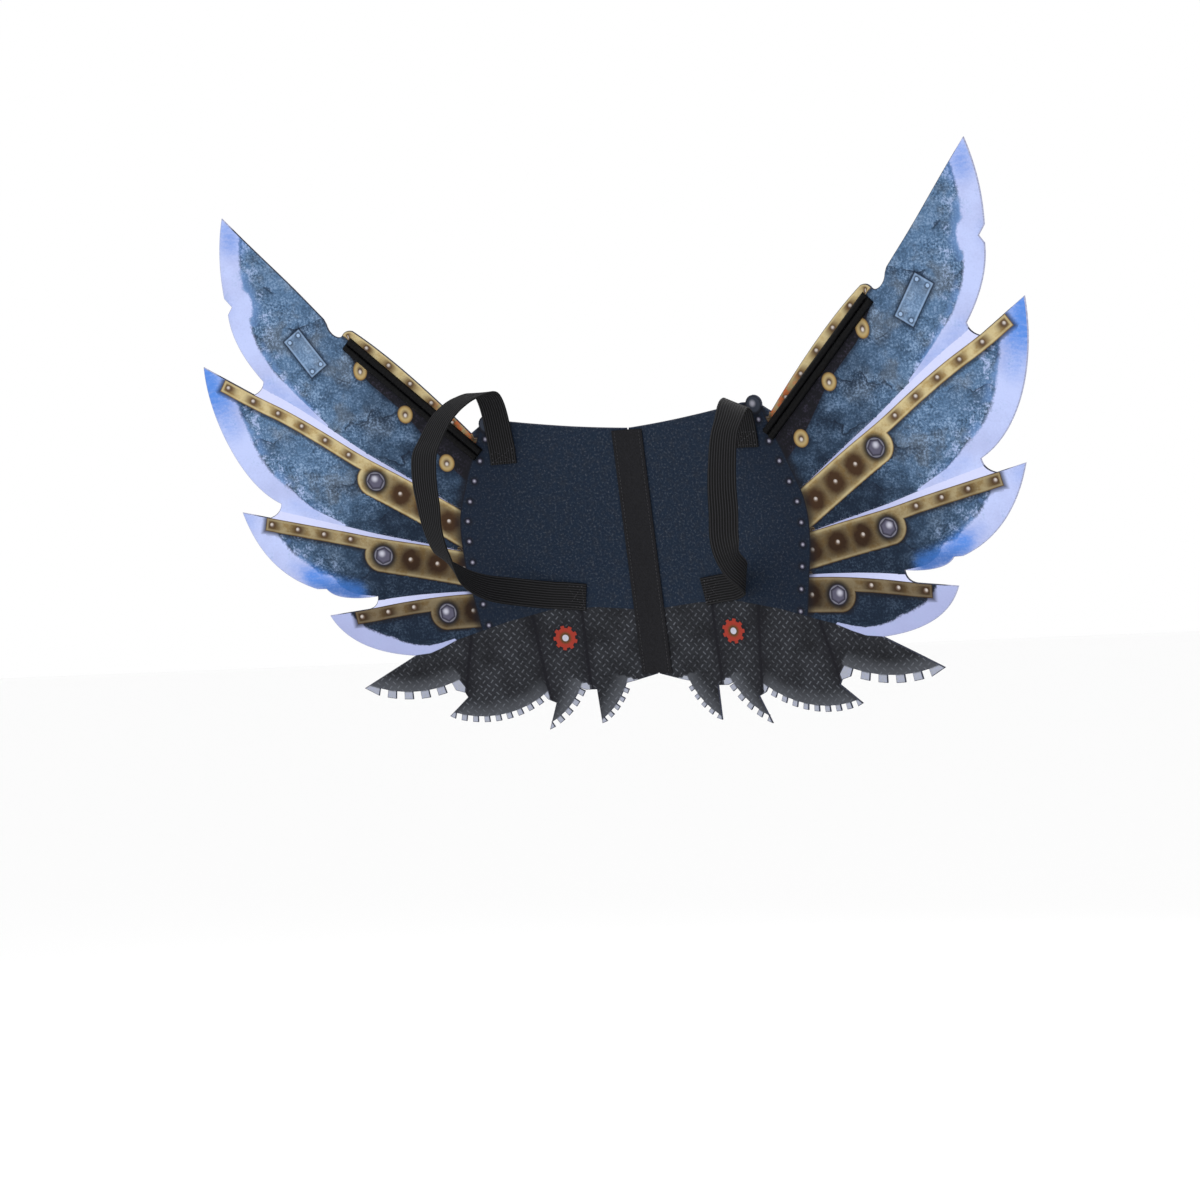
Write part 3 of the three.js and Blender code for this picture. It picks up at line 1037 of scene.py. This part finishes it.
def root_plate(felt, below, hub, around, scuff, grain):
    """Plain dark plate at the wing's root, with a row of rivets round its edge."""
    rivet = around.repeat(HUB_RIVETS["pitch"]).far(hub + HUB_RIVETS["inside"])
    plate = felt.layers(
        STEEL_DARK,
        (scuff.rise(0.4, 0.75) * 0.3, TREAD),
        (grain.rise(0.52, 0.7) * 0.3, TREAD_LIGHT),
        (grain.rise(0.5, 0.36) * 0.6, NAVY),
        # painted shade deepening towards the plate's edge
        (hub.rise(-60, 0) * 0.45, NAVY),
        # painted shadow round each rivet, and a painted highlight on it
        (rivet.rise(5, 1.5) * 0.7, BLACK_INK_AND_SHADOW),
        (rivet.rise(1.8, 1.4), BOLT_FACE),
        (rivet.rise(1.1, 0.5) * 0.7, BOLT_LIGHT),
        (hub.rise(-1.4, -0.4) * 0.7, BLACK_INK_AND_SHADOW),
    )
    # painted shadow round the plate, on the wing
    return felt.layers(below, (hub.rise(7, 0) * 0.75, BLACK_INK_AND_SHADOW), (hub.rise(0.2, -0.2), plate))


def lug_knob(felt, below, out, up):
    """A round knob with a glint, on the lug."""
    dx, dy = out - LUG["centre"][0], up - LUG["centre"][1]
    knob = dx.far(dy)
    head = felt.layers(
        KNOB,
        ((dx + 0.7).far(dy - 0.7).rise(3.4, 0.5) * 0.8, BOLT_LIGHT),
        # painted shade darkening the knob towards its rim
        (knob.rise(4.6, 6.2) * 0.8, BLACK_INK_AND_SHADOW),
    )
    # painted shadow round the knob
    return felt.layers(below, (knob.rise(9, 6.5) * 0.8, BLACK_INK_AND_SHADOW), (knob.rise(6.8, 6.4), head))


def dark_plates(felt, below, place, out, up, arm, around, grain):
    """The arm, the root plate over its foot, and the knob on top."""
    beside, along, hub = arm
    scuff = felt.noise(place, 0.16, 3, 0.6)
    dark = felt.mix((grain * 0.7 + scuff * 0.5).rise(0.58, 0.78) * 0.6, BLACK_INK_AND_SHADOW, ARM_GLINT)
    drawn = dark_arm(felt, below, beside, along, dark)
    drawn = root_plate(felt, drawn, hub, around, scuff, grain)
    return lug_knob(felt, drawn, out, up)


# %% Saw fans with their tread, and a cog
TREAD_PITCH = 4.4
COG = {"at": (67, -93), "radius": 7.4, "teeth": 9, "depth": 1.7}


def tread_dashes(out, up):
    """Raised dashes on a slanting grid, turned one way and the other by turns."""
    column, row = (out + up) * math.sqrt(0.5), (up - out) * math.sqrt(0.5)
    a, b = column.repeat(TREAD_PITCH), row.repeat(TREAD_PITCH)
    count = (column / TREAD_PITCH).math("ROUND") + (row / TREAD_PITCH).math("ROUND")
    flip = count.math("PINGPONG", 1)
    long_way = a + (b - a) * flip
    short_way = b + (a - b) * flip
    return long_way.size().rise(1.7, 1.2) * short_way.size().rise(0.6, 0.25)


def saw_fans(felt, below, place, fan, out, up, grain):
    """Tread plate with pale teeth and a dark seam between two fans."""
    under, floor, seam = fan
    shade = felt.noise(place, 0.05, 3) * 0.6 + grain * 0.6
    teeth = felt.mix(grain.rise(0.4, 0.7) * 0.5, TOOTH, LAVENDER_SHADE)
    ragged = floor + (grain - 0.5) * 1.6
    plate = felt.layers(
        TREAD_DARK,
        (shade.rise(0.4, 0.8), TREAD),
        # painted sheen: the plate is lighter towards the teeth
        (floor.rise(14, 0) * 0.35, TREAD_LIGHT),
        (tread_dashes(out, up) * shade.rise(0.42, 0.75) * 0.6, TREAD_LIGHT),
        # painted shadow on both sides of the seam between two fans
        (seam.rise(9, 1) * 0.5, BLACK_INK_AND_SHADOW),
        (ragged.rise(0.6, -0.8), teeth),
        (seam.rise(1.5, 0.9) * 0.9, BLACK_INK_AND_SHADOW),
    )
    lip = under.rise(6, 0) * under.rise(-0.5, 0.5)
    return felt.layers(below, (lip * 0.8, BLACK_INK_AND_SHADOW), (under.rise(-0.2, 0.2), plate))


def copper_cog(felt, below, out, up):
    """One copper cog with a pale pin."""
    dx, dy = out - COG["at"][0], up - COG["at"][1]
    radius = dx.far(dy)
    teeth = (dy.math("ARCTAN2", dx) * COG["teeth"]).math("COSINE")
    cog = radius - COG["radius"] - teeth.rise(-0.25, 0.25) * COG["depth"]
    red = felt.layers(PATINA, (radius.rise(3.0, 5.5), COPPER), (radius.rise(2.6, 2.2), BOLT_LIGHT))
    # painted shadow round the cog
    return felt.layers(below, (cog.rise(2.5, 0.2) * 0.7, BLACK_INK_AND_SHADOW), (cog.rise(0.25, -0.25), red))


# %% The whole print, and the cut edge
def printed_felt():
    """The finish of both faces."""
    felt = Finish("printed felt", Roughness=0.82, Specular_IOR_Level=0.15)
    place = felt.stored("place")
    out, up, _ = felt.parts(place)
    honed, glow, around = felt.parts(felt.stored("edge"))
    strip, fan, arm = (felt.parts(felt.stored(name)) for name in ("strip", "fan", "arm"))
    colour, grain = steel_plate(felt, place, out, up, honed, glow)
    colour = patch_plate(felt, colour, out, up)
    colour = brass_work(felt, colour, place, strip, out, up, grain)
    colour = dark_plates(felt, colour, place, out, up, arm, around, grain)
    colour = saw_fans(felt, colour, place, fan, out, up, grain)
    colour = copper_cog(felt, colour, out, up)
    fibre = felt.noise(place, 1.6, 3, 0.7)
    matted = felt.noise(place, 0.35, 2, 0.5)
    normal = felt.bump(fibre * 0.6 + matted * 0.8, 0.00035, 0.6)
    return felt.wear(Base_Color=colour, Roughness=0.76 + fibre * 0.16, Normal=normal)


def cut_felt():
    """The cut edge: white felt where the print is pale, and soaked with dark ink elsewhere."""
    felt = Finish("felt cut edge", Roughness=0.95, Specular_IOR_Level=0.15)
    fibre = felt.noise(felt.stored("place"), 1.1, 4, 0.75)
    honed, _, _ = felt.parts(felt.stored("edge"))
    _, across, from_root = felt.parts(felt.stored("strip"))
    under, _, _ = felt.parts(felt.stored("fan"))
    dark = felt.mix(fibre.rise(0.3, 0.75), SOAKED_DARK, SOAKED)
    pale = felt.mix(fibre.rise(0.3, 0.75), BARE_SHADE, BARE_FELT)
    honed_edge = honed.rise(12, 6) * under.rise(1, 0)
    web = across.rise(1, -1) * (1 - on_edging(from_root))
    colour = felt.mix(honed_edge * (1 - web), dark, pale)
    return felt.wear(Base_Color=colour, Normal=felt.bump(fibre, 0.0004, 0.8))


felt_finishes = [printed_felt(), cut_felt()]
print("nodes in the print:", len(felt_finishes[0].node_tree.nodes))

# %% Build both panels from the net
ring_size = len(face_ring)
rim_depths = (EDGE_ROUND, FELT - EDGE_ROUND)
fields = print_fields(np.vstack([net_points, outline]))


def new_piece(name, points, faces, materials, smooth=True):
    """A mesh object at the origin, with its place in its mesh."""
    mesh = bpy.data.meshes.new(name)
    mesh.from_pydata(points.tolist(), [], [list(map(int, face)) for face in faces])
    for material in materials:
        mesh.materials.append(material)
    mesh.polygons.foreach_set("use_smooth", [smooth] * len(mesh.polygons))
    mesh.update()
    piece = bpy.data.objects.new(name, mesh)
    bpy.context.collection.objects.link(piece)
    return piece


def store(mesh, name, vectors):
    """Keeps a vector for each point of a mesh."""
    layer = mesh.attributes.new(name, "FLOAT_VECTOR", "POINT")
    layer.data.foreach_set("vector", np.asarray(vectors, np.float32).ravel())


def felt_panel(hand, side):
    """A closed sheet: front face, back face, and a rim with rounded edges."""
    count = len(net_points)
    bend, rim_bend = ripple(net_points), ripple(outline)
    out, up = net_points.T
    rim_out, rim_up = outline.T
    layers = [worn(out, bend, up), worn(out, bend - FELT, up)]
    layers += [worn(rim_out, rim_bend - depth, rim_up) for depth in rim_depths]
    points = mirrored(np.vstack(layers), side)
    front = net_faces if side > 0 else net_faces[:, ::-1]
    faces = [tuple(face) for face in front] + [tuple(face) for face in front[:, ::-1] + count]
    rings = [np.arange(ring_size), 2 * count + np.arange(ring_size)]
    rings += [2 * count + ring_size + np.arange(ring_size), count + np.arange(ring_size)]
    for near, far in zip(rings, rings[1:]):
        quads = np.stack([near, far, np.roll(far, -1), np.roll(near, -1)], axis=1)
        faces += [tuple(quad) for quad in (quads if side > 0 else quads[:, ::-1])]
    piece = new_piece(f"{hand}_felt", points, faces, felt_finishes)
    rim_faces = len(faces) - 2 * len(net_faces)
    slots = [0] * (2 * len(net_faces)) + [1] * rim_faces
    piece.data.polygons.foreach_set("material_index", slots)
    faces_only = np.arange(count)
    rim_only = count + np.arange(ring_size)
    order = np.concatenate([faces_only, faces_only, rim_only, rim_only])
    for name, vectors in fields.items():
        store(piece.data, name, vectors[order])
    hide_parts(f"{hand}_wing_panel")
    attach(piece, "root")
    return piece


panels = {hand: felt_panel(hand, side) for hand, side in SIDES.items()}
print("panel faces:", {hand: len(piece.data.polygons) for hand, piece in panels.items()})

# %% [markdown]
# ## A band swept along a path
# Straps, tape and sleeves are all one section swept along a line. The section is a closed ring of
# points, across and proud, and each step of the path places it by three directions. The two ends
# are closed with a face, so each piece is a solid sheet with an inside and an outside.

# %% Sweep of a closed section
def sweep(stations, rings):
    """Points and faces of a section that goes through stations (at, across, face) in metres."""
    points = []
    for (at, across, face), ring in zip(stations, rings):
        points.append(at + np.outer(ring[:, 0] * MM, across) + np.outer(ring[:, 1] * MM, face))
    size = len(rings[0])
    faces = []
    for step in range(len(stations) - 1):
        here = step * size
        for i in range(size):
            j = (i + 1) % size
            faces.append((here + i, here + j, here + size + j, here + size + i))
    last = (len(stations) - 1) * size
    faces.append(tuple(range(size))[::-1])
    faces.append(tuple(last + i for i in range(size)))
    return np.vstack(points), faces


def outwards(points, faces):
    """The faces, turned round if the solid is inside out."""
    volume = 0
    for face in faces:
        corner = points[face[0]]
        for b, c in zip(face[1:], face[2:]):
            volume += np.dot(corner, np.cross(points[b], points[c]))
    return faces if volume > 0 else [face[::-1] for face in faces]


def swept_piece(name, stations, rings, side, material, node):
    """A swept solid on one side, standing for its CAD node."""
    points, faces = sweep(stations, rings)
    points = mirrored(points, side)
    piece = new_piece(name, points, outwards(points, faces), [material])
    gaps = [np.linalg.norm(after[0] - before[0]) for before, after in zip(stations, stations[1:])]
    lengths = np.cumsum([0] + gaps)
    rows = []
    for length, ring in zip(lengths, rings):
        rows.append(np.column_stack([ring[:, 0], np.full(len(ring), length / MM), ring[:, 1]]))
    store(piece.data, "weave", np.vstack(rows))
    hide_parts(node)
    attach(piece, "root")
    return piece, lengths[-1]


# %% [markdown]
# ## Shoulder straps
# Each strap is flat black elastic with ribs along it, sewn to the front of the wing at both ends.
# It goes over the shoulder, down in front of the arm and back under it. The path is a smooth curve
# through a few places, the same curve as the solid's. Over the shoulder the left strap leans
# outwards and the right one lies higher, so those places have a lean and a rise. The ribs are real
# geometry, because they catch the light along the whole loop.

# %% Smooth curve through the strap's places
STRAP_WIDTH = 20.0
STRAP_THICK = 1.5
STRAP_STEPS = 260
NUDGE = 1e-4  # share of the curve over which its direction is taken
STRAP_LOOP = [
    {"at": (98.5, -37, 59.5), "across": (1, -0.05, 0), "lean": -0.36, "right": 24},
    {"at": (105, -58, 62.5), "across": (1, 0, 0), "lean": -0.45, "right": 18.5},
    {"at": (111, -80, 59.5), "across": (1, 0.05, 0), "lean": -0.35, "right": 8.5},
    {"at": (114.5, -95.5, 50.5), "across": (1, 0.05, 0), "lean": -0.12, "right": -0.5},
    {"at": (114.5, -105, 39), "across": (1, 0, 0)},
    {"at": (113.5, -108, 21), "across": (1, 0.05, 0)},
    {"at": (112, -106.5, 4), "across": (1, 0.15, 0)},
    {"at": (111, -103.5, -13), "across": (0.93, 0.38, 0)},
    {"at": (108, -97, -30), "across": (0.85, 0.5, 0.1)},
    {"at": (104, -79, -45), "across": (0.4, 0.5, 0.7)},
    {"at": (100, -50, -54), "across": (0.25, 0.1, 0.95)},
    {"at": (90, -22, -58), "across": (0.1, -0.1, 1)},
]


def strap_stations(side):
    """Middle, across and face directions at each step, before a right strap is mirrored."""
    proud = LAYER_GAP + STRAP_THICK / 2
    places = [worn(out, proud + lift, up) for out, up, lift in TOP_TAB]
    lies = [worn(1, 0, 0) / MM] * len(TOP_TAB)
    for stop in STRAP_LOOP:
        rise = stop.get("right", 0) if side < 0 else 0
        lean = stop.get("lean", 0) if side > 0 else 0
        places.append((np.array(stop["at"]) + (0, 0, rise)) * MM)
        lies.append(np.array(stop["across"]) + (0, 0, lean))
    places += [worn(out, proud + lift, up) for out, up, lift in LOW_TAB]
    lies += [worn(0, 0, 1) / MM] * len(LOW_TAB)
    millimetres = np.array(places) / MM
    stations = []
    for t in np.linspace(0, 1, STRAP_STEPS + 1):
        ahead = smooth_curve(millimetres, min(t + NUDGE, 1))
        ahead = ahead - smooth_curve(millimetres, max(t - NUDGE, 0))
        ahead /= np.linalg.norm(ahead)
        face = np.cross(smooth_curve(lies, t), ahead)
        face /= np.linalg.norm(face)
        stations.append((smooth_curve(millimetres, t) * MM, np.cross(ahead, face), face))
    return stations


# %% Ribbed elastic
RIBS = 11
RIB_DEPTH = 0.34
RIB_POINTS = 5  # points over one rib
RIB_ROUND = 0.7  # below 1 a rib is fuller than a sine
SELVAGE = {"share": 0.03, "thin": 0.35}  # where the sides thin, and to what
WEFT_PITCH = 0.9


def ribbed_section():
    """A closed ring: ribs on both faces and rounded selvages."""
    columns = np.linspace(-1, 1, RIBS * RIB_POINTS + 1)
    wave = np.abs(np.sin(np.pi * (columns + 1) / 2 * RIBS))
    half = STRAP_THICK / 2 - RIB_DEPTH * (1 - wave**RIB_ROUND)
    half *= np.clip((1 - np.abs(columns)) / SELVAGE["share"], SELVAGE["thin"], 1)
    across = columns * STRAP_WIDTH / 2
    lower = np.stack([across, -half], axis=1)
    upper = np.stack([across, half], axis=1)[::-1]
    return np.vstack([lower, upper])


def ribbed_elastic():
    """Matt black yarn with fine cross threads between the ribs."""
    yarn = Finish("ribbed elastic", Specular_IOR_Level=0.15)
    weave = yarn.stored("weave")
    across, along, _ = yarn.parts(weave)
    groove = (across + STRAP_WIDTH / 2).repeat(STRAP_WIDTH / RIBS).size()
    fuzz = yarn.noise(weave, 1.3, 3)
    colour = yarn.layers(
        ink(12, 12, 13),
        # lighter colour along the crest of each rib, a painted highlight
        (groove.rise(0.5, 0.88), ink(46, 46, 49)),
        (fuzz.rise(0.5, 0.8) * 0.2, ink(40, 40, 43)),
    )
    normal = yarn.bump(along.wave(WEFT_PITCH) * 0.5 + fuzz * 0.6, 0.00012, 0.7)
    return yarn.wear(Base_Color=colour, Roughness=0.62 + fuzz * 0.25, Normal=normal)


elastic = ribbed_elastic()
strap_rings = [ribbed_section()] * (STRAP_STEPS + 1)
for hand, side in SIDES.items():
    name, node = f"{hand}_elastic", f"{hand}_strap"
    path = strap_stations(side)
    piece, length = swept_piece(name, path, strap_rings, side, elastic, node)
    print(hand, "strap length:", round(length, 4), "m; faces", len(piece.data.polygons))

# %% [markdown]
# ## Stay sleeves
# A pair of thin rods keeps each leading edge straight. They are hidden in a black satin ribbon
# that is sewn down the middle and along both sides, so two round channels show. The ribbon pulls
# in a little at each stitch, and that pucker is a small change of height along the sweep.

# %% Two puckered channels
SLEEVE_STEPS = 180
SLEEVE_ARC = 9  # points over one channel
SLEEVE_SEAT = STAY["base"] * 0.55  # height at which the channels begin
PUCKER = 0.09
PUCKER_PITCH = 3.0
UNEVEN = [(0.04, 7.3, 0), (0.03, 3.1, 1)]  # share, millimetres to a radian and start of a wave
SLEEVE_END = 2.0  # length over which the ends close
END_RISE = 0.35  # share of the height that is left at an end
SATIN_PITCH = 0.55


def sleeve_stations():
    """Straight stations along the stay, from its foot to its top."""
    foot, top = np.array(STAY["foot"]), np.array(STAY["top"])
    ahead = (top - foot) / np.linalg.norm(top - foot)
    across = worn(ahead[1], 0, -ahead[0]) / MM
    face = worn(0, 1, 0) / MM
    stations = []
    for t in np.linspace(0, 1, SLEEVE_STEPS + 1):
        out, up = foot + (top - foot) * t
        stations.append((worn(out, LAYER_GAP, up), across, face))
    return stations, np.linalg.norm(top - foot)


def sleeve_ring(s, length):
    """Section of the sleeve at s millimetres from its foot."""
    lobe = STAY["width"] / 4
    from_end = min(s, length - s)
    close = math.sqrt(max(0.0, 1 - (1 - min(1.0, from_end / SLEEVE_END)) ** 2))
    pull = 1 - PUCKER * (0.5 + 0.5 * math.cos(2 * math.pi * s / PUCKER_PITCH))
    pull += sum(share * math.sin(s / radian + start) for share, radian, start in UNEVEN)
    rise = STAY["rise"] * pull * (END_RISE + (1 - END_RISE) * close)
    ring = [(2 * lobe, 0.0)]
    for centre in (lobe, -lobe):
        for angle in np.linspace(0, math.pi, SLEEVE_ARC):
            ring.append((centre + lobe * math.cos(angle), SLEEVE_SEAT + rise * math.sin(angle)))
    ring.append((-2 * lobe, 0.0))
    return np.array(ring)


def satin_ribbon():
    """Black satin: fine cross ribs and a soft gleam."""
    satin = Finish("black satin", Specular_IOR_Level=0.1)
    weave = satin.stored("weave")
    _, along, _ = satin.parts(weave)
    fuzz = satin.noise(weave, 0.6, 3)
    colour = satin.mix(fuzz.rise(0.35, 0.75), ink(4, 4, 5), ink(15, 15, 17))
    normal = satin.bump(along.wave(SATIN_PITCH) * 0.4 + fuzz, 0.00012, 0.5)
    return satin.wear(Base_Color=colour, Roughness=0.36 + fuzz * 0.25, Normal=normal)


satin = satin_ribbon()
sleeve_path, sleeve_length = sleeve_stations()
from_foot = [sleeve_length * i / SLEEVE_STEPS for i in range(SLEEVE_STEPS + 1)]
sleeve_rings = [sleeve_ring(s, sleeve_length) for s in from_foot]
for hand, side in SIDES.items():
    name, node = f"{hand}_sleeve", f"{hand}_stay"
    swept_piece(name, sleeve_path, sleeve_rings, side, satin, node)
print("sleeve length:", round(sleeve_length, 1), "mm")

# %% [markdown]
# ## Tape on the centre seam
# The two wings meet at the middle of the back. A black twill tape covers the seam on the side
# that lies against the wearer, bent to a shallow V. It is a flat band too, so the same sweep makes
# it, with a section of many points for the bend.

# %% Twill tape
TAPE_STEPS = 90
TAPE_COLUMNS = 24
TAPE_SELVAGE = {"width": 0.8, "thin": 0.4}
TWILL_PITCH = 1.1


def tape_section():
    """A closed ring in the across and forward directions of the back, bent at the seam."""
    columns = np.linspace(-TAPE["half"], TAPE["half"], TAPE_COLUMNS + 1)
    away = np.abs(columns)
    soft = np.clip((TAPE["half"] - away) / TAPE_SELVAGE["width"], 0, 1)
    full = TAPE_SELVAGE["thin"] + (1 - TAPE_SELVAGE["thin"]) * np.sqrt(soft)
    middle = LAYER_GAP + TAPE["thick"] / 2
    beside_seam = np.arange(len(columns)) != TAPE_COLUMNS // 2
    rings = []
    for half in (-TAPE["thick"] / 2, TAPE["thick"] / 2):
        lift = middle + half * full
        out = away * math.cos(FOLD) - lift * math.sin(FOLD) * beside_seam
        forward = away * math.sin(FOLD) + lift * math.cos(FOLD)
        rings.append(np.stack([np.sign(columns) * out, forward], axis=1))
    return np.vstack([rings[0], rings[1][::-1]])


def tape_stations():
    """Straight stations up the centre seam."""
    across = np.array([1.0, 0.0, 0.0])
    face = np.array([0.0, -math.cos(LEAN), -math.sin(LEAN)])
    rise = np.array([0.0, -math.sin(LEAN), math.cos(LEAN)])
    heights = np.linspace(TAPE["bottom"], TAPE["top"], TAPE_STEPS + 1)
    return [(rise * height * MM, across, face) for height in heights]


def twill_weave():
    """Black cotton with a fine diagonal."""
    cotton = Finish("black twill", Specular_IOR_Level=0.15)
    weave = cotton.stored("weave")
    across, along, _ = cotton.parts(weave)
    rib = (along + across).wave(TWILL_PITCH)
    fuzz = cotton.noise(weave, 0.9, 3)
    colour = cotton.mix((rib * 0.3 + fuzz).rise(0.2, 0.9), ink(14, 14, 16), ink(40, 40, 44))
    normal = cotton.bump(rib * 0.5 + fuzz * 0.6, 0.00015, 0.7)
    return cotton.wear(Base_Color=colour, Roughness=0.78 + fuzz * 0.15, Normal=normal)


twill = twill_weave()
tape_path = tape_stations()
tape_rings = [tape_section()] * len(tape_path)
_, tape_length = swept_piece("seam_twill", tape_path, tape_rings, 1, twill, "back_tape")
print("tape length:", round(tape_length, 4), "m")

# %% [markdown]
# ## Stitches
# Everything is held by lines of machine stitches. They repeat along a path, so a Geometry Nodes
# tree makes them: the path is resampled at the stitch pitch, a small thread bead is placed on each
# point and turned along the path, and the copies are made real at the end.

# %% A tree that sews along a curve
STITCH = {"Pitch": 2.6, "Length": 1.9, "Thread": 0.42}
BEAD = {"Segments": 6, "Rings": 5, "Radius": 0.5}  # one stitch before it is scaled


def stitch_tree(thread):
    """Geometry Nodes: beads of thread along every spline."""
    tree = bpy.data.node_groups.new("stitch line", "GeometryNodeTree")
    tree.interface.new_socket("Geometry", in_out="INPUT", socket_type="NodeSocketGeometry")
    for name in STITCH:
        tree.interface.new_socket(name, in_out="INPUT", socket_type="NodeSocketFloat")
    tree.interface.new_socket("Geometry", in_out="OUTPUT", socket_type="NodeSocketGeometry")

    def add(kind, settings, sockets):
        node = tree.nodes.new(kind)
        for name, value in settings.items():
            setattr(node, name, value)
        for key, value in sockets.items():
            if isinstance(value, bpy.types.NodeSocket):
                tree.links.new(value, node.inputs[key])
            else:
                node.inputs[key].default_value = value
        return node

    given = tree.nodes.new("NodeGroupInput").outputs
    run = {"Curve": given["Geometry"], "Length": given["Pitch"]}
    spaced = add("GeometryNodeResampleCurve", {"mode": "LENGTH"}, run)
    tangent = add("GeometryNodeInputTangent", {}, {})
    turn = add("FunctionNodeAlignRotationToVector", {"axis": "X"}, {"Vector": tangent.outputs[0]})
    long_thin = {0: given["Length"], 1: given["Thread"], 2: given["Thread"]}
    size = add("ShaderNodeCombineXYZ", {}, long_thin)
    bead = add("GeometryNodeMeshUVSphere", {}, BEAD)
    made = {"Points": spaced, "Instance": bead, "Rotation": turn, "Scale": size}
    placed = {name: node.outputs[0] for name, node in made.items()}
    sewn = add("GeometryNodeInstanceOnPoints", {}, placed)
    real = add("GeometryNodeRealizeInstances", {}, {0: sewn.outputs[0]})
    smooth = add("GeometryNodeSetShadeSmooth", {}, {0: real.outputs[0]})
    dressed = add("GeometryNodeSetMaterial", {}, {"Geometry": smooth.outputs[0], "Material": thread})
    tree.links.new(dressed.outputs[0], tree.nodes.new("NodeGroupOutput").inputs[0])
    return tree


def sewn_lines(name, left_lines, tree):
    """Stitches along the left wing's lines and their mirror images, as one plain mesh."""
    lines = [mirrored(line, side) for side in SIDES.values() for line in left_lines]
    curve = bpy.data.curves.new(name, "CURVE")
    curve.dimensions = "3D"
    for line in lines:
        spline = curve.splines.new("POLY")
        spline.points.add(len(line) - 1)
        spline.points.foreach_set("co", np.column_stack([line, np.ones(len(line))]).ravel())
    path = bpy.data.objects.new(f"{name}_path", curve)
    bpy.context.collection.objects.link(path)
    modifier = path.modifiers.new("sew", "NODES")
    modifier.node_group = tree
    for item in tree.interface.items_tree:
        if item.in_out == "INPUT" and item.name in STITCH:
            modifier[item.identifier] = STITCH[item.name] * MM
    evaluated = path.evaluated_get(bpy.context.evaluated_depsgraph_get())
    mesh = bpy.data.meshes.new_from_object(evaluated)
    piece = bpy.data.objects.new(name, mesh)
    bpy.context.collection.objects.link(piece)
    bpy.data.objects.remove(path)
    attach(piece, "root")
    print(name, len(mesh.polygons), "faces")


TWIST_SCALE = 2500  # for each metre


def thread_finish():
    """Dark polyester thread with a little twist."""
    thread = Finish("black thread", Specular_IOR_Level=0.5)
    spot = thread.node("ShaderNodeTexCoord", {}, {}, "Object")
    twist = thread.noise(spot, TWIST_SCALE)
    colour = thread.mix(twist.rise(0.35, 0.7), ink(16, 16, 18), ink(58, 58, 64))
    return thread.wear(Base_Color=colour, Roughness=0.42 + twist * 0.2)


# %% Where the stitches go
TAB_INSET = 2.2  # from a tab's or the tape's edge to its stitches
TOP_SEWN = {"out": 96, "up": (40, 49)}
LOW_SEWN = {"out": (49, 61), "up": (-63.7, -61.9)}
END_GAP = 2.0  # from the end of a long row to its first stitch
SUNK = 0.05  # how deep a stitch sits in the elastic
GROOVE_LIFT = 0.35
LINE_STEPS = 24


def flat_line(a, b, proud):
    """A straight line on the wing between two [out, up] places."""
    t = np.linspace(0, 1, LINE_STEPS + 1)
    return worn(a[0] + (b[0] - a[0]) * t, proud, a[1] + (b[1] - a[1]) * t)


def sleeve_line():
    """One row down the groove between a sleeve's two channels."""
    foot, top = np.array(STAY["foot"]), np.array(STAY["top"])
    ahead = (top - foot) / np.linalg.norm(top - foot) * END_GAP
    return flat_line(foot + ahead, top - ahead, LAYER_GAP + SLEEVE_SEAT + GROOVE_LIFT)


def tape_line():
    """One row beside the tape's edge."""
    out = TAPE["half"] - TAB_INSET
    bottom, top = TAPE["bottom"] + END_GAP, TAPE["top"] - END_GAP
    return flat_line((out, bottom), (out, top), LAYER_GAP + TAPE["thick"])


def tab_lines():
    """A box and a cross over each of a strap's two tabs."""
    half = STRAP_WIDTH / 2 - TAB_INSET
    inner, outer = TOP_SEWN["out"] - half, TOP_SEWN["out"] + half
    low, high = TOP_SEWN["up"]
    boxes = [[(inner, low), (outer, low), (outer, high), (inner, high)]]
    (near, far), (near_up, far_up) = LOW_SEWN["out"], LOW_SEWN["up"]
    below = [(near, near_up - half), (far, far_up - half)]
    above = [(far, far_up + half), (near, near_up + half)]
    boxes.append(below + above)
    proud = LAYER_GAP + STRAP_THICK - SUNK
    lines = []
    for a, b, c, d in boxes:
        lines += [flat_line(p, q, proud) for p, q in ((a, b), (b, c), (c, d), (d, a), (a, c), (b, d))]
    return lines


tree = stitch_tree(thread_finish())
sewn_lines("sleeve_stitches", [sleeve_line()], tree)
sewn_lines("strap_stitches", tab_lines(), tree)
sewn_lines("tape_stitches", [tape_line()], tree)
